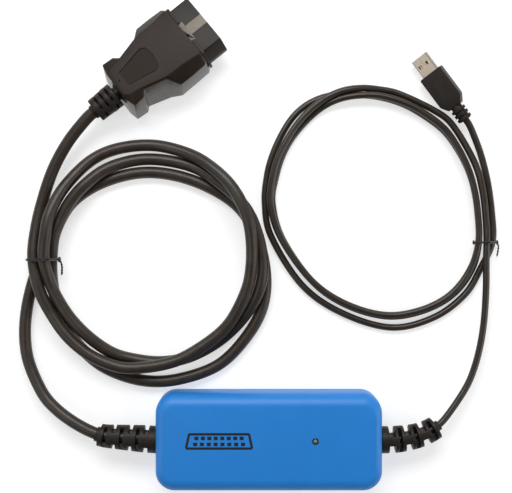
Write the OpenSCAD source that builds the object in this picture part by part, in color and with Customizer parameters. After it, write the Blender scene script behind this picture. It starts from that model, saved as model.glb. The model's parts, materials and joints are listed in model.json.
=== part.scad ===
// Vehicle-to-computer interface: a rounded box with a circuit board inside, and two coiled cables
// with moulded plugs. The box is centred on the origin with its length along X; the table is Z = 0.
// The vehicle cable leaves at -X, the computer cable at +X, and both coils lie on the +Y side.

/* [Interface box] */
// Length of the box, along X
box_l = 152; // [144:1:160]
// Depth of the box, along Y
box_w = 66; // [62:1:70]
// Height of the box
box_h = 27; // [26:0.5:29]
// Corner radius of the box in plan
box_corner_r = 13; // [11:0.5:15]
// Roll of the top edges along the long sides
box_roll_long = 9; // [6:0.5:10]
// Roll of the top edges at the two ends
box_roll_end = 5.5; // [4:0.5:8]
// Wall thickness of the two shells
wall = 2.4; // [2:0.1:2.8]
// Radius of the round ports that hold the two cable boots
port_r = 6; // [5.8:0.1:6.5]
// Place of the status light on the lid, from the box centre
led_at = [31, 1.5]; // [-60:0.5:60]

/* [Circuit board] */
// Board length
board_l = 118; // [100:1:122]
// Board depth
board_w = 50; // [44:1:52]
// Board thickness
board_t = 1.6; // [1.2:0.2:2]
// Height of the board's underside
board_z = 6; // [5:0.5:7]

/* [Vehicle cable] */
// Outside diameter of the vehicle cable
obd_d = 8.2; // [7:0.1:8.2]
// Largest rib radius of the boot at the box
obd_boot_r = 9.2; // [8:0.1:10]

/* [Computer cable] */
// Outside diameter of the computer cable
usb_d = 4.66; // [4:0.02:4.7]
// Largest rib radius of the boot at the box
usb_boot_r = 9.1; // [8:0.1:10]

/* [Vehicle plug] */
// Place of the rear end of the plug's cover on the table
obd_plug_at = [-101.9, 235.4]; // [-110:0.1:240]
// Direction the plug points, from +X
obd_plug_turn = 38.7; // [36:0.1:41]
// Roll of the plug about its own axis, resting on one lower edge
obd_plug_roll = -10; // [-10:1:-8]
// Length of the plug's cover
cover_l = 59.5; // [57:0.5:62]
// Thickness of the plug's cover
cover_h = 25; // [24:0.5:27]
// Height of the line where the two covers meet
seam_z = 17.4; // [17:0.1:18]
// Height of the plug's axis above the table
obd_axis_z = 17; // [17:0.1:18]
// Height of the axis above the foot of the cover
cover_axis = 12.5; // [12.5:0.1:12.6]
// Length of the shroud that stands out of the cover
shroud_out = 16.5; // [16:0.5:18]
// Pitch of the sixteen contacts
contact_pitch = 4; // [4:0.01:4.05]

/* [Computer plug] */
// Place of the rear end of the plug's overmould
usb_plug_at = [128.6, 227.4]; // [120:0.1:230]
// Direction the plug points, from +X
usb_plug_turn = 126.7; // [124:0.1:129]
// Roll of the plug about its own axis
usb_plug_roll = -30; // [-32:1:-20]
// Height of the plug's axis
usb_axis_z = 7.9; // [7.9:0.1:9]
// Width of the plug's metal shell
shell_w = 12; // [11.9:0.05:12.1]
// Thickness of the plug's metal shell
shell_h = 4.5; // [4.4:0.05:4.6]

/* [Hidden] */
$fn = 48;
split_z = box_h / 2; // joint between the two shells
axis_z = box_h / 2; // ports and boots
board_top = board_z + board_t;

// ---- lay of the cables ----
// Lead rows are [x, y, height]; the other rows are [bearing, distance, height] from the coil centre.
obd_centre = [-82, 118];
obd_lead = [
    [-70, -0.35, 13.5], [-75, 0, 13.5], [-85, 0.7, 13.5], [-95, 1.4, 13.5],
    [-105, 2.1, 13.5], [-113, 2.8, 13.4]];
obd_rise = [
    [250, 119, 12.8], [243.5, 117.8, 11.6], [237, 116.4, 9.8], [230, 113.8, 7.6],
    [218.5, 106.4, 4.6], [209, 98.3, 4.2], [198.9, 89.4, 4.3], [186.5, 80.3, 4.7]];
obd_turn_1 = [
    [175.2, 73.7, 5.7], [160.4, 69.7, 4.2], [140.7, 69.2, 4.2], [118.5, 66, 4.2],
    [91.6, 64.6, 4.2], [63.1, 66.1, 4.2], [35.9, 73, 4.2], [16.2, 76.4, 4.2],
    [357, 79.9, 4.2], [340.5, 82.8, 4.2], [324.3, 82.8, 4.2], [305.1, 83.2, 4.2],
    [285.1, 80.7, 4.2], [267.7, 79.3, 4.2], [249.2, 77, 4.2], [233.8, 74.4, 4.2],
    [217.4, 71.7, 4.2], [198.8, 68.6, 4.2], [186.4, 67.7, 5.3]];
obd_turn_2 = [
    [175.2, 66.5, 10.6], [162.8, 67.3, 12.9], [152.6, 67.6, 12.8], [141.4, 69, 12.8],
    [127.7, 70.3, 12.6], [111.5, 72.7, 9], [91.4, 73.7, 4.2], [68, 74.5, 5],
    [49.9, 74.7, 10.8], [32.7, 77.1, 12.7], [18, 77.5, 12.8], [2.1, 78, 12.8],
    [347.9, 77.2, 12.2], [332.7, 74.1, 6.5], [314.1, 70.7, 4.2], [294, 68.5, 4.2],
    [276.2, 66.7, 4.2], [258, 65.2, 4.4], [245.5, 64.7, 7.4], [228.9, 63.2, 11.4],
    [211.9, 64, 12.4], [195.3, 66.4, 13.3], [183.8, 68.5, 15.7]];
obd_turn_3 = [
    [174.3, 70.4, 18.6], [163.4, 71.6, 19.9], [151.8, 74.8, 18.4], [137.2, 78.5, 12.4],
    [119.6, 83, 5], [105.1, 83.8, 4.2], [87.4, 83.2, 4.2], [69.7, 81.5, 9.7],
    [56.3, 79.8, 16.5], [43, 78.3, 20.6], [28.3, 75.7, 21.8], [15.2, 72.8, 20.4],
    [359.1, 70.2, 18], [344.1, 68.6, 15.8], [321.8, 67.4, 12.9], [296.8, 66.2, 12.8],
    [279.8, 67.6, 12.8], [259.9, 70.6, 12.8], [248.8, 71.7, 12.8], [235.6, 72.5, 12.8],
    [220.3, 72.9, 12.8], [204.8, 73.7, 12.4], [191.4, 75.7, 14.2]];
obd_tail = [
    [175.9, 78.4, 13.2], [162.2, 80.8, 10.8], [149, 85, 9.6], [134.6, 92.7, 11],
    [122.4, 100.7, 13.8]];

usb_centre = [76, 157];
usb_lead = [
    [70, 0, 13.5], [75, 0, 13.5], [83, 0.1, 13.5], [91, 0.8, 13.5],
    [99.5, 2.3, 13.4], [107, 4.8, 13.2], [112.8, 7.9, 12.9]];
usb_rise = [
    [286.6, 150.6, 12], [292.6, 140.7, 10.2], [297.9, 132.3, 8.8], [304.1, 120.8, 7.9],
    [312, 107, 7.5], [322.9, 91.9, 7.5], [333.7, 81.9, 7.6]];
usb_turn_1 = [
    [342.9, 77, 8.4], [353.2, 74, 6.9], [9.5, 72.2, 7], [25.8, 73.5, 4.8],
    [47.5, 77.5, 2.4], [58.9, 78.7, 2.4], [79.3, 81.2, 2.4], [89.2, 82.8, 3.2],
    [97.9, 84.3, 5.5], [107, 85.2, 7.2], [116.1, 84.6, 7.3], [126.2, 82.8, 7.2],
    [137.4, 80.4, 7.2], [151.6, 78.2, 7.2], [164.7, 76.3, 7.2], [177.8, 74.7, 7.2],
    [196.3, 70.3, 7.2], [226.1, 67.5, 7.2], [250.1, 68.9, 7.2], [273.1, 72.8, 7.2],
    [292, 74.9, 7.2], [309.5, 76.4, 7.2], [326.2, 75, 7.2]];
usb_turn_2 = [
    [341.2, 71.8, 8.3], [356.7, 67.9, 7.2], [11.4, 66.7, 7.2], [24.9, 67.2, 7.2],
    [38.5, 68.7, 7.2], [51.3, 71.3, 7.2], [66, 73.1, 7.2], [78, 75.4, 7.2],
    [89.6, 77.9, 7.2], [98.6, 79.2, 7.2], [107.9, 80.5, 6.3], [117, 80.7, 3.8],
    [127.2, 79.3, 2.4], [139.4, 77.7, 2.4], [150.9, 76.1, 2.4], [163.2, 74.3, 2.4],
    [176, 73.5, 2.4], [196.5, 69.5, 2.4], [227.2, 67.5, 2.4], [250.7, 69.6, 2.4],
    [273.6, 74, 2.4], [292.2, 76.4, 2.4], [310.1, 78.2, 2.4], [326.4, 77, 2.4]];
usb_turn_3 = [
    [341.5, 73, 3.55], [356.8, 69.1, 2.4], [11.5, 67.9, 2.4], [24.9, 68.1, 2.4],
    [38.4, 69.1, 2.4], [51.1, 71, 2.4], [65.6, 72.5, 2.4], [77.4, 75.1, 2.4],
    [89.1, 77.8, 2.4], [98.1, 80, 2.4], [107, 83.6, 2.4], [115.8, 86.4, 2.4],
    [124.5, 87.7, 2.4], [133.3, 86.9, 2.4], [144.1, 84.1, 2.4], [155.1, 81.9, 2.4],
    [164.9, 80.1, 2.4], [176.7, 78.6, 2.4], [193.9, 76.5, 2.4], [224.7, 74.3, 2.4],
    [250.7, 75.9, 2.4], [276.4, 82.2, 2.4], [297.5, 84, 2.4], [315.7, 83.9, 2.4],
    [330.6, 81.6, 2.4]];
usb_tail = [
    [344, 81.8, 3.55], [357.2, 78.7, 2.4], [13.1, 77.9, 2.4], [27, 80, 3],
    [36.5, 82.4, 5.2]];

// last stretch into each plug: [place along the plug's axis, height]
obd_entry = [[-26.5, 16.3], [-21.5, obd_axis_z], [-17, obd_axis_z]];
usb_entry = [[-15, 7.6], [-11.5, usb_axis_z], [-8.5, usb_axis_z]];

function around(centre, rows) = [for (row = rows)
    [centre[0] + row[1] * cos(row[0]), centre[1] + row[1] * sin(row[0]), row[2]]];
function along(start, turn, rows) = [for (row = rows)
    [start[0] + row[0] * cos(turn), start[1] + row[0] * sin(turn), row[1]]];

obd_stations = concat(obd_lead,
    around(obd_centre, concat(obd_rise, obd_turn_1, obd_turn_2, obd_turn_3, obd_tail)),
    along(obd_plug_at, obd_plug_turn, obd_entry));
usb_stations = concat(usb_lead,
    around(usb_centre, concat(usb_rise, usb_turn_1, usb_turn_2, usb_turn_3, usb_tail)),
    along(usb_plug_at, usb_plug_turn, usb_entry));

// ---- curves and skins ----
// point at share t of the way from b to c, on the smooth curve through a, b, c and d
function bend(a, b, c, d, t) = 0.5 * (2 * b + (c - a) * t
    + (2 * a - 5 * b + 4 * c - d) * t * t
    + (3 * b - a - 3 * c + d) * t * t * t);
// smooth curve through all the stations, with n steps between neighbours
function curve(stations, n) =
    let (last = len(stations) - 1,
        q = concat([2 * stations[0] - stations[1]], stations,
            [2 * stations[last] - stations[last - 1]]))
    concat([for (i = [1 : last], k = [0 : n - 1]) bend(q[i - 1], q[i], q[i + 1], q[i + 2], k / n)],
        [stations[last]]);
function first(rows, n) = [for (i = [0 : n - 1]) rows[i]];
function skip_first(rows) = [for (i = [1 : len(rows) - 1]) rows[i]];
function unit(v) = v / norm(v);
function ring(centre, dir, r, n) = let (side = unit(cross([0, 0, 1], dir)), up = unit(cross(dir, side)))
    [for (k = [0 : n - 1]) centre + r * cos(360 * k / n) * side + r * sin(360 * k / n) * up];

// triangles between m rings of n points
function side_faces(m, n) = [for (i = [0 : m - 2], k = [0 : n - 1])
    let (a = i * n + k, b = i * n + (k + 1) % n)
    each [[a, a + n, b], [b, a + n, b + n]]];

// solid through rings of points, closed by flat ends
module ring_solid(rings) {
    n = len(rings[0]);
    m = len(rings);
    ends = [[for (k = [0 : n - 1]) k], [for (k = [n - 1 : -1 : 0]) (m - 1) * n + k]];
    polyhedron([for (points = rings) each points], concat(side_faces(m, n), ends));
}

// closed tube along a line of points, with n sides
module tube(path, r, n) {
    last = len(path) - 1;
    ring_solid([for (i = [0 : last])
        ring(path[i], path[min(i + 1, last)] - path[max(i - 1, 0)], r, n)]);
}

// solid skinned over flat outlines; each level is [height, outline]
module skin(levels) {
    ring_solid([for (level = levels) [for (q = level[1]) [q[0], q[1], level[0]]]]);
}

// ring solid whose rings run along the right side (-Y), then back along the left;
// each end is triangulated between mirrored points, as its ring need not be flat
module mirror_skin(rings) {
    n = len(rings[0]);
    m = len(rings);
    top = (m - 1) * n;
    ends = [for (i = [0 : n / 2 - 2]) let (j = n - 1 - i) each [
        [i, i + 1, j], [i + 1, j - 1, j],
        [top + i, top + j, top + i + 1], [top + i + 1, top + j, top + j - 1]]];
    polyhedron([for (points = rings) each points], concat(side_faces(m, n), ends));
}

// closed tube round a loop in an XZ plane; radius rx in that plane and ry along Y
module hoop(path, rx, ry, n) {
    m = len(path);
    points = [for (i = [0 : m - 1])
        let (dir = unit(path[(i + 1) % m] - path[(i + m - 1) % m]), out = cross(dir, [0, 1, 0]))
        each [for (k = [0 : n - 1]) let (angle = 360 * (k + 0.5) / n)
            path[i] + rx * cos(angle) * out + ry * sin(angle) * [0, 1, 0]]];
    faces = [for (i = [0 : m - 1], k = [0 : n - 1])
        let (a = i * n + k, b = i * n + (k + 1) % n,
            c = ((i + 1) % m) * n + k, d = ((i + 1) % m) * n + (k + 1) % n)
        each [[a, b, c], [b, d, c]]];
    polyhedron(points, faces);
}

// ---- shared shapes ----
// rounded rectangle from its half sizes, with n steps in each corner
function round_rect(hx, hy, r, n) =
    [for (c = [[1, 1, 0], [-1, 1, 90], [-1, -1, 180], [1, -1, 270]], k = [0 : n])
        [c[0] * (hx - r) + r * cos(c[2] + 90 * k / n), c[1] * (hy - r) + r * sin(c[2] + 90 * k / n)]];
// outline or ring from its left half: the right side first, then back along the left
function both_sides(half) = concat(
    [for (q = half) [for (i = [0 : len(q) - 1]) i == 1 ? -q[i] : q[i]]],
    [for (i = [len(half) - 1 : -1 : 0]) half[i]]);
function corners(x, y) = [for (sy = [-1, 1], sx = [-1, 1]) [sx * x, sy * y]];

// cylinder along X, from x
module rod(x, l, r) { translate([x, 0, 0]) rotate([0, 90, 0]) cylinder(h = l, r = r); }
// level cylinder centred at a place on the height of the ports, turned from X
module disc(at, turn, l, r) {
    translate([at[0], at[1], axis_z]) rotate([0, 0, turn]) rotate([0, 90, 0])
        cylinder(h = l, r = r, center = true);
}

// screw with a crossed slot, head at the bottom and shank up
module screw(l, r, head_r, head_h) {
    difference() {
        union() {
            cylinder(h = head_h, r = head_r);
            cylinder(h = l, r = r);
        }
        for (a = [0, 90]) rotate([0, 0, a])
            translate([-head_r * 0.6, -0.35, -1]) cube([head_r * 1.2, 0.7, 1.9]);
    }
}

// ---- box shells ----
bottom_roll = 2.5;
lower_z = [0, 0.7, 1.6, bottom_roll, split_z];
upper_z = concat([split_z], [for (drop = [9, 7, 5, 3.4, 2.1, 1.1, 0.4, 0]) box_h - drop]);
lid_step = 8.2; // below the top, where the hollow narrows under the rolled edges
port_depth = 10;
case_screw_at = corners(60, 20);
board_screw_at = corners(48, 19);
case_post_r = 4;
board_post_r = 3.2;
post_sink = 0.2; // overlap of the posts with the floor
led_hole_r = 2.3;

// how far an edge of roll r has drawn in at a distance from its face
function roll_in(distance, r) = distance >= r ? 0
    : r - sqrt(max(0, r * r - (r - distance) * (r - distance)));
function box_outline(z) =
    let (ix = max(roll_in(box_h - z, box_roll_end), roll_in(z, bottom_roll)),
        iy = max(roll_in(box_h - z, box_roll_long), roll_in(z, bottom_roll)))
    round_rect(box_l / 2 - ix, box_w / 2 - iy, box_corner_r - 0.5 * iy, 6);

module box_skin(heights) { skin([for (z = heights) [z, box_outline(z)]]); }
module ports() {
    for (s = [-1, 1]) disc([s * (box_l / 2 - port_depth / 2), 0], 0, port_depth + 2, port_r);
}
module cavity(z0, z1) {
    translate([0, 0, z0]) linear_extrude(z1 - z0)
        polygon(round_rect(box_l / 2 - wall, box_w / 2 - wall, box_corner_r - wall, 6));
}
// upright cylinders at a list of places
module posts(places, z, h, r) {
    for (at = places) translate([at[0], at[1], z]) cylinder(h = h, r = r);
}

module lower_shell() {
    post_z = wall - post_sink;
    color("royalblue") difference() {
        union() {
            difference() {
                box_skin(lower_z);
                cavity(wall, split_z + 1);
            }
            posts(case_screw_at, z = post_z, h = split_z - wall + post_sink, r = case_post_r);
            posts(board_screw_at, z = post_z, h = board_z - wall + post_sink, r = board_post_r);
        }
        posts(case_screw_at, z = -1, h = split_z + 2, r = 1.7);
        posts(case_screw_at, z = -1, h = 6, r = 3.1);
        posts(board_screw_at, z = wall, h = board_z, r = 1.25);
        ports();
    }
}

module upper_shell() {
    color("royalblue") difference() {
        union() {
            difference() {
                box_skin(upper_z);
                cavity(split_z - 1, box_h - lid_step);
                translate([0, 0, box_h - lid_step - 0.1]) linear_extrude(lid_step + 0.1 - wall)
                    polygon(round_rect(box_l / 2 - 7, box_w / 2 - 9, 6, 6));
            }
            posts(case_screw_at, z = split_z, h = box_h - split_z - 1.5, r = case_post_r);
        }
        posts(case_screw_at, z = split_z - 1, h = 9, r = 1.3);
        below_lid(5) cylinder(h = 8, r = led_hole_r);
        ports();
    }
}

module case_screws() {
    color("silver") for (at = case_screw_at) translate([at[0], at[1], 2.6])
        screw(l = 14, r = 1.28, head_r = 2.8, head_h = 2.3);
}
module board_screws() {
    color("silver") for (at = board_screw_at) translate([at[0], at[1], board_top + 1.6])
        mirror([0, 0, 1]) screw(l = 5.4, r = 1.22, head_r = 2.4, head_h = 1.55);
}

// ---- board and its parts ----
interface_at = [[-26, 13], [-26, -1], [-26, -14], [30, -14]];
capacitor_at = [[-10, 16], [2, 17], [14, 17]];
capacitor_base = 6.6;
crystal_l = 7.2; // between the centres of its round ends
crystal_w = 4.6;
crystal_h = 3;

module on_board(at) { translate([at[0], at[1], board_top]) children(); }

module circuit_board() {
    color("darkgreen") translate([0, 0, board_z]) linear_extrude(board_t) difference() {
        polygon(round_rect(board_l / 2, board_w / 2, 2, 4));
        for (at = case_screw_at) translate(at) circle(r = case_post_r + 0.4);
        for (at = board_screw_at) translate(at) circle(r = 1.6);
    }
}

// flat chip body with a row of legs on each long side
module chip(l, w, h, legs) {
    translate([-l / 2, -w / 2, 0.15]) cube([l, w, h]);
    for (s = [-1, 1], k = [0 : legs - 1])
        translate([-l / 2 + l * (k + 0.5) / legs - 0.2, s > 0 ? w / 2 - 0.1 : -w / 2 - 1, 0])
            cube([0.4, 1.1, 0.6]);
}
// two crossed copies give legs on all four sides
module microcontroller() {
    color("dimgray") on_board([4, 2]) union() {
        for (a = [0, 90]) rotate([0, 0, a]) chip(l = 14, w = 14, h = 1.4, legs = 12);
    }
}
module interface_chips() {
    color("dimgray") for (at = interface_at) on_board(at) chip(l = 10, w = 4, h = 1.5, legs = 8);
}
module voltage_regulator() {
    color("dimgray") on_board([-8, -18]) {
        translate([-3.3, -1.8, 0]) cube([6.6, 3.6, 1.7]);
        translate([-1.6, 1.7, 0]) cube([3.2, 1.8, 0.5]);
    }
}
module capacitors() {
    color("slategray") for (at = capacitor_at) on_board(at) {
        translate([-capacitor_base / 2, -capacitor_base / 2, 0])
            cube([capacitor_base, capacitor_base, 0.8]);
        translate([0, 0, 0.8]) cylinder(h = 6, r = 3.1);
    }
}
module crystal() {
    color("silver") on_board([18, -8]) union() {
        translate([-crystal_l / 2, -crystal_w / 2, 0]) cube([crystal_l, crystal_w, crystal_h]);
        for (s = [-1, 1]) translate([s * crystal_l / 2, 0, 0])
            cylinder(h = crystal_h, r = crystal_w / 2);
    }
}

// ---- headers and the loose wires that drop into them ----
header_x = 51; // distance of both headers from the box centre
header_w = 5.6;
header_h = 6.2;
header_wall = 0.8;
pin_pitch = 2.5;
pin_w = 0.64;
wire_pitch = 0.9; // at the cable's stripped end
obd_pins = 8;
usb_pins = 5;

module header(x, pins) {
    l = pins * pin_pitch + 3;
    difference() {
        translate([x - header_w / 2, -l / 2, board_top]) cube([header_w, l, header_h]);
        translate([x - header_w / 2 + header_wall, -l / 2 + header_wall, board_top + 1.5])
            cube([header_w - 2 * header_wall, l - 2 * header_wall, 6]);
    }
    for (k = [0 : pins - 1])
        translate([x - pin_w / 2, (k - (pins - 1) / 2) * pin_pitch - pin_w / 2, board_top + 1])
            cube([pin_w, pin_w, 4.2]);
}
module obd_header() { color("ivory") header(-header_x, obd_pins); }
module usb_header() { color("ivory") header(header_x, usb_pins); }

module loom(cable_x, pins_x, pins) {
    run = pins_x - cable_x;
    for (k = [0 : pins - 1]) let (place = k - (pins - 1) / 2, pin_y = place * pin_pitch)
        tube(curve([
            [cable_x, place * wire_pitch, axis_z],
            [cable_x + run * 0.35, place * (wire_pitch + 0.4), axis_z + 0.4],
            [pins_x - run * 0.04, pin_y * 0.98, board_top + 10],
            [pins_x, pin_y, board_top + 7.2],
            [pins_x, pin_y, board_top + 5.6]], 3), 0.42, 6);
}
module obd_wires() { color("firebrick") loom(-68.6, -header_x, obd_pins); }
module usb_wires() { color("seagreen") loom(69, header_x, usb_pins); }

// ---- status light ----
led_r = 1.5;
led_leg_x = 1.27;
led_leg_w = 0.5;

module below_lid(drop) { translate([led_at[0], led_at[1], box_h - drop]) children(); }

module led_bezel() {
    color("black") difference() {
        union() {
            below_lid(3.8) cylinder(h = 4.1, r = led_hole_r - 0.02);
            below_lid(3.9) cylinder(h = 1.4, r = 3);
        }
        below_lid(6) cylinder(h = 8, r = led_r + 0.05);
    }
}
module status_led() {
    color("palegreen") {
        below_lid(5.6) cylinder(h = 1.2, r = 1.9);
        below_lid(5.4) cylinder(h = 4, r = led_r);
        below_lid(1.4) sphere(r = led_r);
        on_board(led_at) for (s = [-1, 1])
            translate([s * led_leg_x - led_leg_w / 2, -led_leg_w / 2, 0])
                cube([led_leg_w, led_leg_w, box_h - 5.5 - board_top]);
    }
}

// ---- strain-relief boots at the box ----
// each row is [x, y, turn, radius, thickness]; the first rib is the largest
obd_ribs = [
    [-79.3, 0.3, -4, 9.2, 4.4], [-88.6, 0.95, -4, 8.9, 7.4],
    [-99.4, 1.7, -4, 8.5, 7.9], [-110.2, 2.5, -4, 8, 7.2]];
usb_ribs = [
    [79, 0, 1, 9.1, 4.8], [89, 0.6, 6, 8.9, 6.6],
    [100, 2.5, 14, 8.5, 6.6], [110.3, 6.5, 26, 8, 6.2]];
boot_flange_x = 72.6;
boot_collar_x = 75;
boot_flange_h = 10.2; // the round flange is cut flat above and below
pocket_reach = 9; // radius the pockets cut out to

// flange inside the wall and collar in the port; side is -1 or 1 along X
module boot_seat(side, flange_y, collar_y) {
    intersection() {
        disc([side * boot_flange_x, flange_y], 0, 1.8, 8.2);
        translate([side * boot_collar_x - 5, -10, axis_z - boot_flange_h / 2])
            cube([10, 20, boot_flange_h]);
    }
    disc([side * boot_collar_x, collar_y], 0, 4.4, port_r - 0.12);
}
module boot_ribs(ribs, largest_r) {
    for (row = ribs) disc(row, row[2], row[4], row[3] * largest_r / ribs[0][3]);
}
// pockets in all but the first rib, by turns above and below or on the two sides
module rib_pockets(ribs, t, core_r) {
    for (i = [1 : 3], s = [-1, 1])
        translate([ribs[i][0], ribs[i][1], axis_z]) rotate([0, 0, ribs[i][2]])
            rotate([i == 2 ? 0 : 90, 0, 0])
            translate([0, s * (core_r + (pocket_reach - core_r) / 2 + 0.5), 0])
                cube([t, pocket_reach - core_r + 1, pocket_reach * 0.8], center = true);
}

module obd_box_boot() {
    color("black") difference() {
        union() {
            boot_seat(side = -1, flange_y = 0.15, collar_y = 0.05);
            disc([-80, 0.3], -4, 8, 5.4);
            tube(curve(skip_first(obd_lead), 2), 5.1, 24);
            boot_ribs(obd_ribs, obd_boot_r);
        }
        tube(curve(first(obd_stations, 8), 3), obd_d / 2 + 0.1, 12);
        rib_pockets(obd_ribs, t = 3, core_r = 5.6);
    }
}
module usb_box_boot() {
    color("black") difference() {
        union() {
            boot_seat(side = 1, flange_y = 0, collar_y = 0);
            tube(curve(skip_first(usb_lead), 3), 3.4, 20);
            boot_ribs(usb_ribs, usb_boot_r);
        }
        tube(curve(first(usb_stations, 9), 2), usb_d / 2 + 0.1, 10);
        rib_pockets(usb_ribs, t = 2.8, core_r = 4.2);
    }
}

// ---- cables ----
// cable through its stations, held just clear of the table
module cable(stations, d, steps, sides) {
    tube([for (q = curve(stations, steps)) [q[0], q[1], max(q[2], d / 2 + 0.02)]], d / 2, sides);
}
module obd_cable() { color("dimgray") cable(obd_stations, obd_d, steps = 3, sides = 12); }
module usb_cable() { color("dimgray") cable(usb_stations, usb_d, steps = 2, sides = 10); }

// ---- twist ties: a loop that hugs every strand, and two loose ends ----
obd_tie_y = 122.5;
usb_tie_y = 134.2;
// strands inside each loop: [x, z]
obd_strands = [[-160.1, 13.3], [-148.4, 10.3], [-151.9, 18.1], [-156.2, 5.7]];
usb_strands = [[144, 8.3], [145.3, 3.55], [149.6, 8.4], [154.6, 3.55]];
// middle line of each pair of ends: [x, y from the loop, z, half gap in y, half gap in z]
obd_tie_ends = [
    [-143.2, 0, 10.2, 0.35, 0], [-141.6, -0.3, 10.5, 0.5, 0],
    [-141.2, -3.4, 9.6, 0.2, 0], [-142, -10.5, 6.5, -0.9, 1]];
usb_tie_ends = [
    [157.6, 0, 3.55, 0.3, 0], [158.9, -0.3, 4, 0.5, 0],
    [158.7, -3, 4.2, 0.2, 0], [157.6, -9.5, 3.4, -0.7, 1]];

// loop of n points, each r beyond the strand centre that lies farthest out in its direction
function hugging(centres, r, n) = [for (k = [0 : n - 1])
    let (angle = 360 * k / n, v = [cos(angle), 0, sin(angle)],
        far = max([for (q = centres) q * v]),
        at = [for (q = centres) if (q * v > far - 1e-6) q][0])
    at + r * v];

module twist_tie(y, strands, hug_r, rx, ry, ends, end_r) {
    union() {
        hoop(hugging([for (q = strands) [q[0], y, q[1]]], hug_r, 36), rx, ry, 8);
        for (s = [-1, 1])
            tube([for (q = ends) [q[0], y + q[1] + s * q[3], q[2] + s * q[4]]], end_r, 6);
    }
}
module obd_twist_tie() {
    color("black") twist_tie(obd_tie_y, obd_strands, hug_r = obd_d / 2 + 1.05,
        rx = 0.5, ry = 0.8, ends = obd_tie_ends, end_r = 0.48);
}
module usb_twist_tie() {
    color("black") twist_tie(usb_tie_y, usb_strands, hug_r = usb_d / 2 + 0.75,
        rx = 0.42, ry = 0.7, ends = usb_tie_ends, end_r = 0.45);
}

// ---- vehicle plug: local x points out of the plug, y to its left, z up from the cover's foot ----
// Left edges of the cover, from the rear round the ear, the grip scoop and the head to the front:
// each row is [place along the plug, half width, height].
foot_edge = [
    [-2.2, 12.6, 0], [-0.8, 19, 0], [7.8, 19.6, 0], [10.8, 16.9, 0], [26.2, 21.7, 0],
    [33.3, 25.7, 0], [46, 25.4, 0], [57.3, 24.9, 0], [59.3, 23.2, 0]];
parting_edge = [
    [1.5, 11.2, seam_z + 4.6], [3.4, 18.2, seam_z + 5], [12, 17.6, seam_z + 5],
    [15, 13.9, seam_z + 6.2], [31, 18, seam_z + 6.2], [36.4, 25.2, seam_z],
    [46, 25.3, seam_z], [57.2, 24.8, seam_z], [59.4, 22.8, seam_z]];
top_edge = [
    [1.8, 8.4, cover_h], [5.4, 11, cover_h], [12.8, 12.3, cover_h], [15.6, 13, cover_h],
    [30.8, 17.1, cover_h], [33.4, 17.6, cover_h], [46, 17.8, cover_h], [58.2, 19.4, cover_h],
    [59.5, 18.2, cover_h]];
edge_table_l = 59.5; // cover length the edge tables are drawn for
// left half of the hollow, and the shallow recess in the top: [x, y]
hollow_half = [[3, 7.6], [11, 8.5], [15, 10.8], [30, 15.2], [36, 17.8], [57.1, 17.8]];
top_recess = [[9, 5], [9, -5], [29.5, -9.4], [33, -7.4], [34.3, 0], [33, 7.4], [29.5, 9.4]];
d_top = 18.6; // half widths and half height of the D-shaped shroud
d_bottom = 22.5;
d_half_h = 8;
d_bevel = 1.2;
key_wide = 7.75; // half widths of the stepped slot in the shroud's top
key_narrow = 3.8;
key_play = 0.05;
contact_x = 46;
contact_l = 26;
contact_w = 1.5;
contact_t = 0.8;
contact_row_z = 4.2; // of each row of contacts, from the axis
plug_wire_pitch = 8;
plug_screw_at = [[6.5, 11.8], [6.5, -11.8]];

module on_obd_plug() {
    translate([obd_plug_at[0], obd_plug_at[1], obd_axis_z]) rotate([0, 0, obd_plug_turn])
        rotate([obd_plug_roll, 0, 0]) translate([0, 0, -cover_axis]) children();
}
module on_cover_axis() { translate([0, 0, cover_axis]) children(); }
// ring of points along an edge, drawn in and moved down
function edge_ring(edge, inset, drop) = both_sides([for (q = edge)
    [(q[0] + (q[0] < 5 ? inset : q[0] > 58 ? -inset : 0)) * cover_l / edge_table_l,
        q[1] - inset, q[2] - drop]]);
module cover_hollow(z0, z1) {
    translate([0, 0, z0]) linear_extrude(z1 - z0) polygon(both_sides(hollow_half));
}
// D outline, grown by g
module d_shape(g) {
    top = d_top + g;
    bottom = d_bottom + g;
    h = d_half_h + g;
    polygon([
        [-bottom, -h], [bottom, -h], [bottom, -d_half_h + 5],
        [top, h - d_bevel], [top - d_bevel, h],
        [-top + d_bevel, h], [-top, h - d_bevel], [-bottom, -d_half_h + 5]]);
}
// D shape stood up across the plug's axis, from x0 to x1
module d_block(x0, x1, g) {
    translate([x0, 0, cover_axis]) rotate([90, 0, 90]) linear_extrude(x1 - x0) d_shape(g);
}
// block ahead of the cover's front, z above the axis
module key_block(x, half_w, l, z, h) {
    translate([cover_l + x, -half_w, cover_axis + z]) cube([l, 2 * half_w, h]);
}

module obd_plug_lower_cover() {
    color("dimgray") on_obd_plug() difference() {
        mirror_skin([edge_ring(foot_edge, 1, 0), edge_ring(foot_edge, 0, -1.2),
            edge_ring(parting_edge, 0, 0)]);
        cover_hollow(2.2, cover_h + 1);
        posts(plug_screw_at, z = -1, h = 26, r = 1.4);
        posts(plug_screw_at, z = -1, h = 8.8, r = 2.6);
        d_block(50.9, 62, 0.05);
        on_cover_axis() rod(x = -6, l = 11, r = 6.2);
    }
}
module obd_plug_upper_cover() {
    color("dimgray") on_obd_plug() difference() {
        mirror_skin([edge_ring(parting_edge, 0, 0), edge_ring(top_edge, 0, 0.6),
            edge_ring(top_edge, 0.6, 0)]);
        cover_hollow(10, cover_h - 2.4);
        posts(plug_screw_at, z = 15, h = 8.8, r = 1.02);
        d_block(50.9, 62, 0.05);
        translate([0, 0, cover_h - 0.5]) linear_extrude(1) polygon(top_recess);
    }
}
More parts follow.
